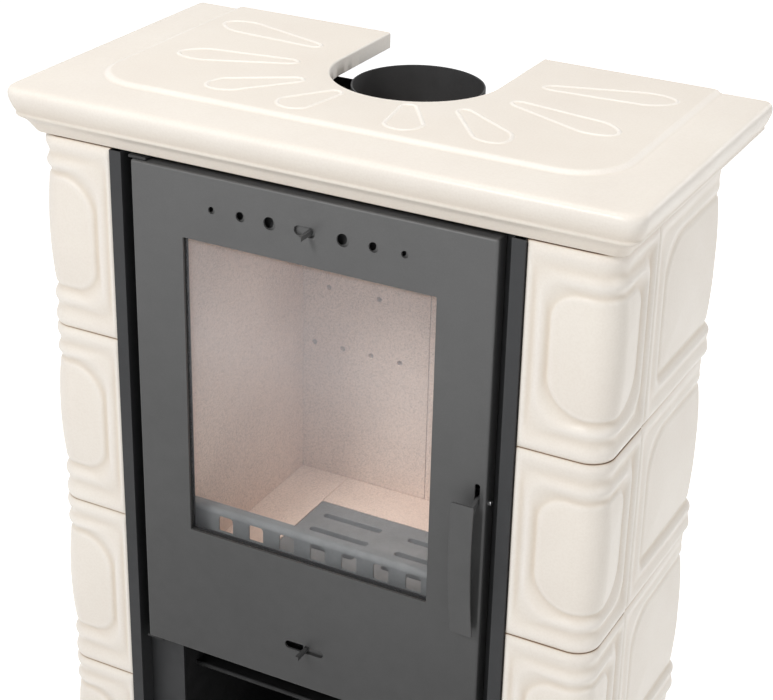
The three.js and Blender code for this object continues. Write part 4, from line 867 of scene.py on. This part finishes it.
def add_flue_collar():
    """The collar: a rolled tube with a rounded rim and a weld seam inside."""
    foot, rim = ranges("flue_collar")[2]
    bore = COLLAR_R - COLLAR_WALL
    steps = 96
    profile = [(COLLAR_R, foot), (COLLAR_R, rim - 0.7), (COLLAR_R - 0.3, rim - 0.15), (COLLAR_R - 1, rim),
               (bore + 0.3, rim - 0.15), (bore, rim - 0.7), (bore, foot)]
    rings = []
    for radius, z in profile:
        ring = []
        for i in range(steps):
            angle = 2 * math.pi * i / steps
            off_seam = (angle - math.radians(COLLAR_SEAM_AT)) * COLLAR_R / COLLAR_SEAM_W
            seam = COLLAR_SEAM_H * math.exp(-off_seam ** 2) if radius <= bore else 0
            ring.append(((radius - seam) * math.cos(angle), FLUE_Y + (radius - seam) * math.sin(angle), z))
        rings.append(ring)
    points, faces = loft(rings, closed=True)
    add_piece("flue_collar_painted", points, faces, "root", "black_steel", ("flue_collar",), 40)


def add_lining():
    """The back slabs with their air holes, the side slabs, the floor bricks and the baffle."""
    for name, side in (("left", -1), ("right", 1)):
        node = f"back_lining_{name}"
        (x0, x1), (front, back), (bottom, top) = ranges(node)
        door_top = high("door_leaf")[2]
        holes = [Contour.circle(side * along, door_top - drop, BOARD_HOLE_R)
                 for drop, places in BOARD_HOLES for along in places]
        outline = Contour((x0, x1), (bottom, top), 0.6, hole=False, steps=2)
        points, faces = sheet("y", outline, rounded_edge(front, back, 0.8, 2), holes,
                              rounded_edge(front, back, 0.5, 2))
        add_piece(f"{node}_board", points, faces, "root", "fire_lining", (node,), 30)
        soften(f"side_lining_{name}", "root", "fire_lining", 0.8)
        soften(f"floor_brick_{name}", "root", "fire_lining", 0.8)
    soften("floor_brick_back", "root", "fire_lining", 0.8)
    soften("floor_brick_front", "root", "fire_lining", 0.8)
    soften("baffle", "baffle", "fire_lining", 1.0)


def add_log_retainer():
    """The perforated sheet, bent back along its top."""
    (x0, x1), (front, back), (bottom, top) = ranges("log_retainer")
    seam = top - RETAINER_BEND
    hole_z = [bottom + rise for rise in RETAINER_HOLE_RISE]
    holes = []
    for i in range(RETAINER_HOLES):
        x = (i - (RETAINER_HOLES - 1) / 2) * RETAINER_PITCH
        holes.append(Contour((x - RETAINER_HOLE_HALF, x + RETAINER_HOLE_HALF), hole_z, RETAINER_HOLE_R))
    outline = Contour((x0, x1), (bottom, seam), 0.05, hole=False, steps=2)
    upright = sheet("y", outline, rounded_edge(front, front + RETAINER_T, 0.05, 1), holes,
                    rounded_edge(front, front + RETAINER_T, 0.5, 3))
    axis = front + RETAINER_BEND
    turns = [math.pi / 2 * i / 10 for i in range(11)]
    outer, inner = ([(axis - radius * math.cos(a), seam + radius * math.sin(a)) for a in turns]
                    for radius in (RETAINER_BEND, RETAINER_BEND - RETAINER_T))
    section = outer + [(back, top), (back, top - RETAINER_T)] + inner[::-1]
    bent = loft([[(x, y, z) for y, z in section] for x in (x0, x1)])
    points, faces = merged(upright, bent)
    add_piece("log_retainer_cast", points, faces, "log_retainer", "grate_iron", ("log_retainer",), 30)


def add_grate():
    """The grate: a slotted deck with a rim below its edge."""
    (x0, x1), (y0, y1), (bottom, top) = ranges("grate")
    under = top - GRATE_DECK
    half_x, half_y = GRATE_SLOT_HALF
    slots = []
    for row in range(GRATE_SLOT_ROWS):
        y = (y0 + y1) / 2 + (row - (GRATE_SLOT_ROWS - 1) / 2) * GRATE_SLOT_PITCH
        for side in (-1, 1):
            x = (x0 + x1) / 2 + side * GRATE_SLOT_SIDE
            slots.append(Contour((x - half_x, x + half_x), (y - half_y, y + half_y), GRATE_SLOT_R))
    outline = Contour((x0, x1), (y0, y1), 3, hole=False)
    profile = rounded_edge(top, bottom, 1.0, 3) + [(GRATE_RIM, bottom + 1), (GRATE_RIM, under)]
    points, faces = sheet("z", outline, profile, slots, rounded_edge(top, under, 1.0, 3))
    add_piece("grate_cast", points, faces, "grate", "grate_iron", ("grate",), 35)


def add_body():
    """The steel pieces of the body, redrawn with softer arrises."""
    for side in ("left", "right"):
        soften(f"front_strip_{side}", "root", "trim_paint", 0.6, 3)
        soften(f"side_panel_{side}", "root", "black_steel", 0.4)
        soften(f"firebox_side_{side}", "root", "black_steel", 0.4)
    soften("front_frame", "root", "trim_paint", 0.4)
    for node in ("base_plate", "rear_shield", "firebox_shelf", "firebox_back", "firebox_top", "grate_bed",
                 "store_liner", "latch_striker", "hinge_bracket_top", "hinge_bracket_bottom"):
        soften(node, "root", "black_steel", 0.4)
    soften("ash_pan", "root", "zinc_sheet", 0.4)


# ---------------------------------------------------------------- stage, light and camera

PHOTO_WIDTH = 773               # pixels
FOCAL_PX = 1897
SENSOR = 36
CAMERA_PLACE = (901.9, -1720.9, 1644.1)
YAW, PITCH, ROLL = 27.37, 26.12, 1.34   # degrees: turned left, down and over
STUDIO_LEVEL = 0.32             # the studio's even light
FLOOR_SIZE = 40                 # metres
FLOOR_SHADE = 0.9
FLOOR_GLOW = 1 - FLOOR_SHADE * STUDIO_LEVEL
# Name, place and aim in metres, width and height in metres, watts.
STUDIO_LAMPS = (
    ("key", (-0.8, -2.8, 3.0), (0, 0, 0.7), (0.9, 0.9), 68),
    ("top", (-0.3, 0.0, 3.4), (0, 0, 0.9), (2.0, 1.6), 25),
    ("fill", (3.4, -0.9, 1.5), (0, 0, 0.6), (1.6, 1.6), 21),
    ("back", (1.9, 3.0, 2.0), (0, 0, 0.7), (2.0, 1.6), 24),
)
FIREBOX_LAMP = ("firebox", (0, -0.03, 0.865), (0, 0.02, 0.4), (0.26, 0.12), 0.175)
FIREBOX_SPREAD = 75             # degrees


def seen_ray(tree, path):
    """1 for a camera, glossy or transmission ray."""
    total = path.outputs["Is Camera Ray"]
    for name in ("Is Glossy Ray", "Is Transmission Ray"):
        larger = tree.nodes.new("ShaderNodeMath")
        larger.operation = "MAXIMUM"
        tree.links.new(total, larger.inputs[0])
        tree.links.new(path.outputs[name], larger.inputs[1])
        total = larger.outputs[0]
    return total


def add_floor():
    """A pale floor: where a ray sees it, a glow lifts it to the backdrop's white."""
    m = Nodes("floor")
    seen = seen_ray(m.tree, m.add("ShaderNodeLightPath"))
    glow = m.add("ShaderNodeMath", operation="MULTIPLY")
    glow.inputs[1].default_value = FLOOR_GLOW
    m.link(seen, glow.inputs[0])
    m.link(glow.outputs[0], m.shader.inputs["Emission Strength"])
    material = m.finish(Base_Color=(FLOOR_SHADE, FLOOR_SHADE, FLOOR_SHADE, 1), Roughness=0.9,
                        Emission_Color=(1, 1, 1, 1), Specular_IOR_Level=0.0)
    bpy.ops.mesh.primitive_plane_add(size=FLOOR_SIZE, location=(0, 0, 0))
    floor = bpy.context.object
    floor.name = "floor"
    floor.data.materials.append(material)


def add_world():
    """Even studio light, white where a camera, glossy or transmission ray sees it."""
    world = bpy.data.worlds.new("studio")
    bpy.context.scene.world = world
    world.use_nodes = True
    tree = world.node_tree
    plain = tree.nodes["Background"]
    plain.inputs["Color"].default_value = (1, 1, 1, 1)
    plain.inputs["Strength"].default_value = STUDIO_LEVEL
    white = tree.nodes.new("ShaderNodeBackground")
    white.inputs["Color"].default_value = (1, 1, 1, 1)
    white.inputs["Strength"].default_value = 1.0
    path = tree.nodes.new("ShaderNodeLightPath")
    mix = tree.nodes.new("ShaderNodeMixShader")
    tree.links.new(seen_ray(tree, path), mix.inputs[0])
    tree.links.new(plain.outputs[0], mix.inputs[1])
    tree.links.new(white.outputs[0], mix.inputs[2])
    tree.links.new(mix.outputs[0], tree.nodes["World Output"].inputs["Surface"])


def add_softbox(name, place, aim, size, watts):
    """A rectangular area lamp."""
    lamp = bpy.data.lights.new(name, "AREA")
    lamp.shape = "RECTANGLE"
    lamp.size, lamp.size_y = size
    lamp.energy = watts
    box = bpy.data.objects.new(name, lamp)
    box.location = place
    box.rotation_euler = (Vector(aim) - Vector(place)).to_track_quat("-Z", "Y").to_euler()
    bpy.context.scene.collection.objects.link(box)
    return box


def add_lights():
    """The studio lamps, and a small unseen one that lights the firebox from under its baffle."""
    for lamp in STUDIO_LAMPS:
        add_softbox(*lamp)
    glow = add_softbox(*FIREBOX_LAMP)
    glow.data.spread = math.radians(FIREBOX_SPREAD)
    glow.visible_camera = False


def add_camera():
    """The camera solved from the photo, as near as one without lens shift comes."""
    lens = bpy.data.cameras.new("camera")
    lens.sensor_width = SENSOR
    lens.lens = FOCAL_PX * SENSOR / PHOTO_WIDTH
    lens.clip_end = 100
    camera = bpy.data.objects.new("camera", lens)
    camera.location = [c * MM for c in CAMERA_PLACE]
    yaw, pitch, roll = (math.radians(a) for a in (YAW, PITCH, ROLL))
    forward = Vector((-math.sin(yaw) * math.cos(pitch), math.cos(yaw) * math.cos(pitch), -math.sin(pitch)))
    right = Vector((math.cos(yaw), math.sin(yaw), 0))
    up = right.cross(forward)
    turned_right = right * math.cos(roll) + up * math.sin(roll)
    turned_up = -right * math.sin(roll) + up * math.cos(roll)
    rows = [(turned_right[i], turned_up[i], -forward[i]) for i in range(3)]
    camera.rotation_euler = Matrix(rows).to_euler()
    bpy.context.scene.collection.objects.link(camera)
    bpy.context.scene.camera = camera


# ---------------------------------------------------------------- assembly

add_camera()
add_tiles()
add_top_plate()
add_body()
add_flue_collar()
add_lining()
add_log_retainer()
add_grate()
add_door()
add_floor()
add_world()
add_lights()

bpy.context.scene.view_settings.view_transform = "Standard"
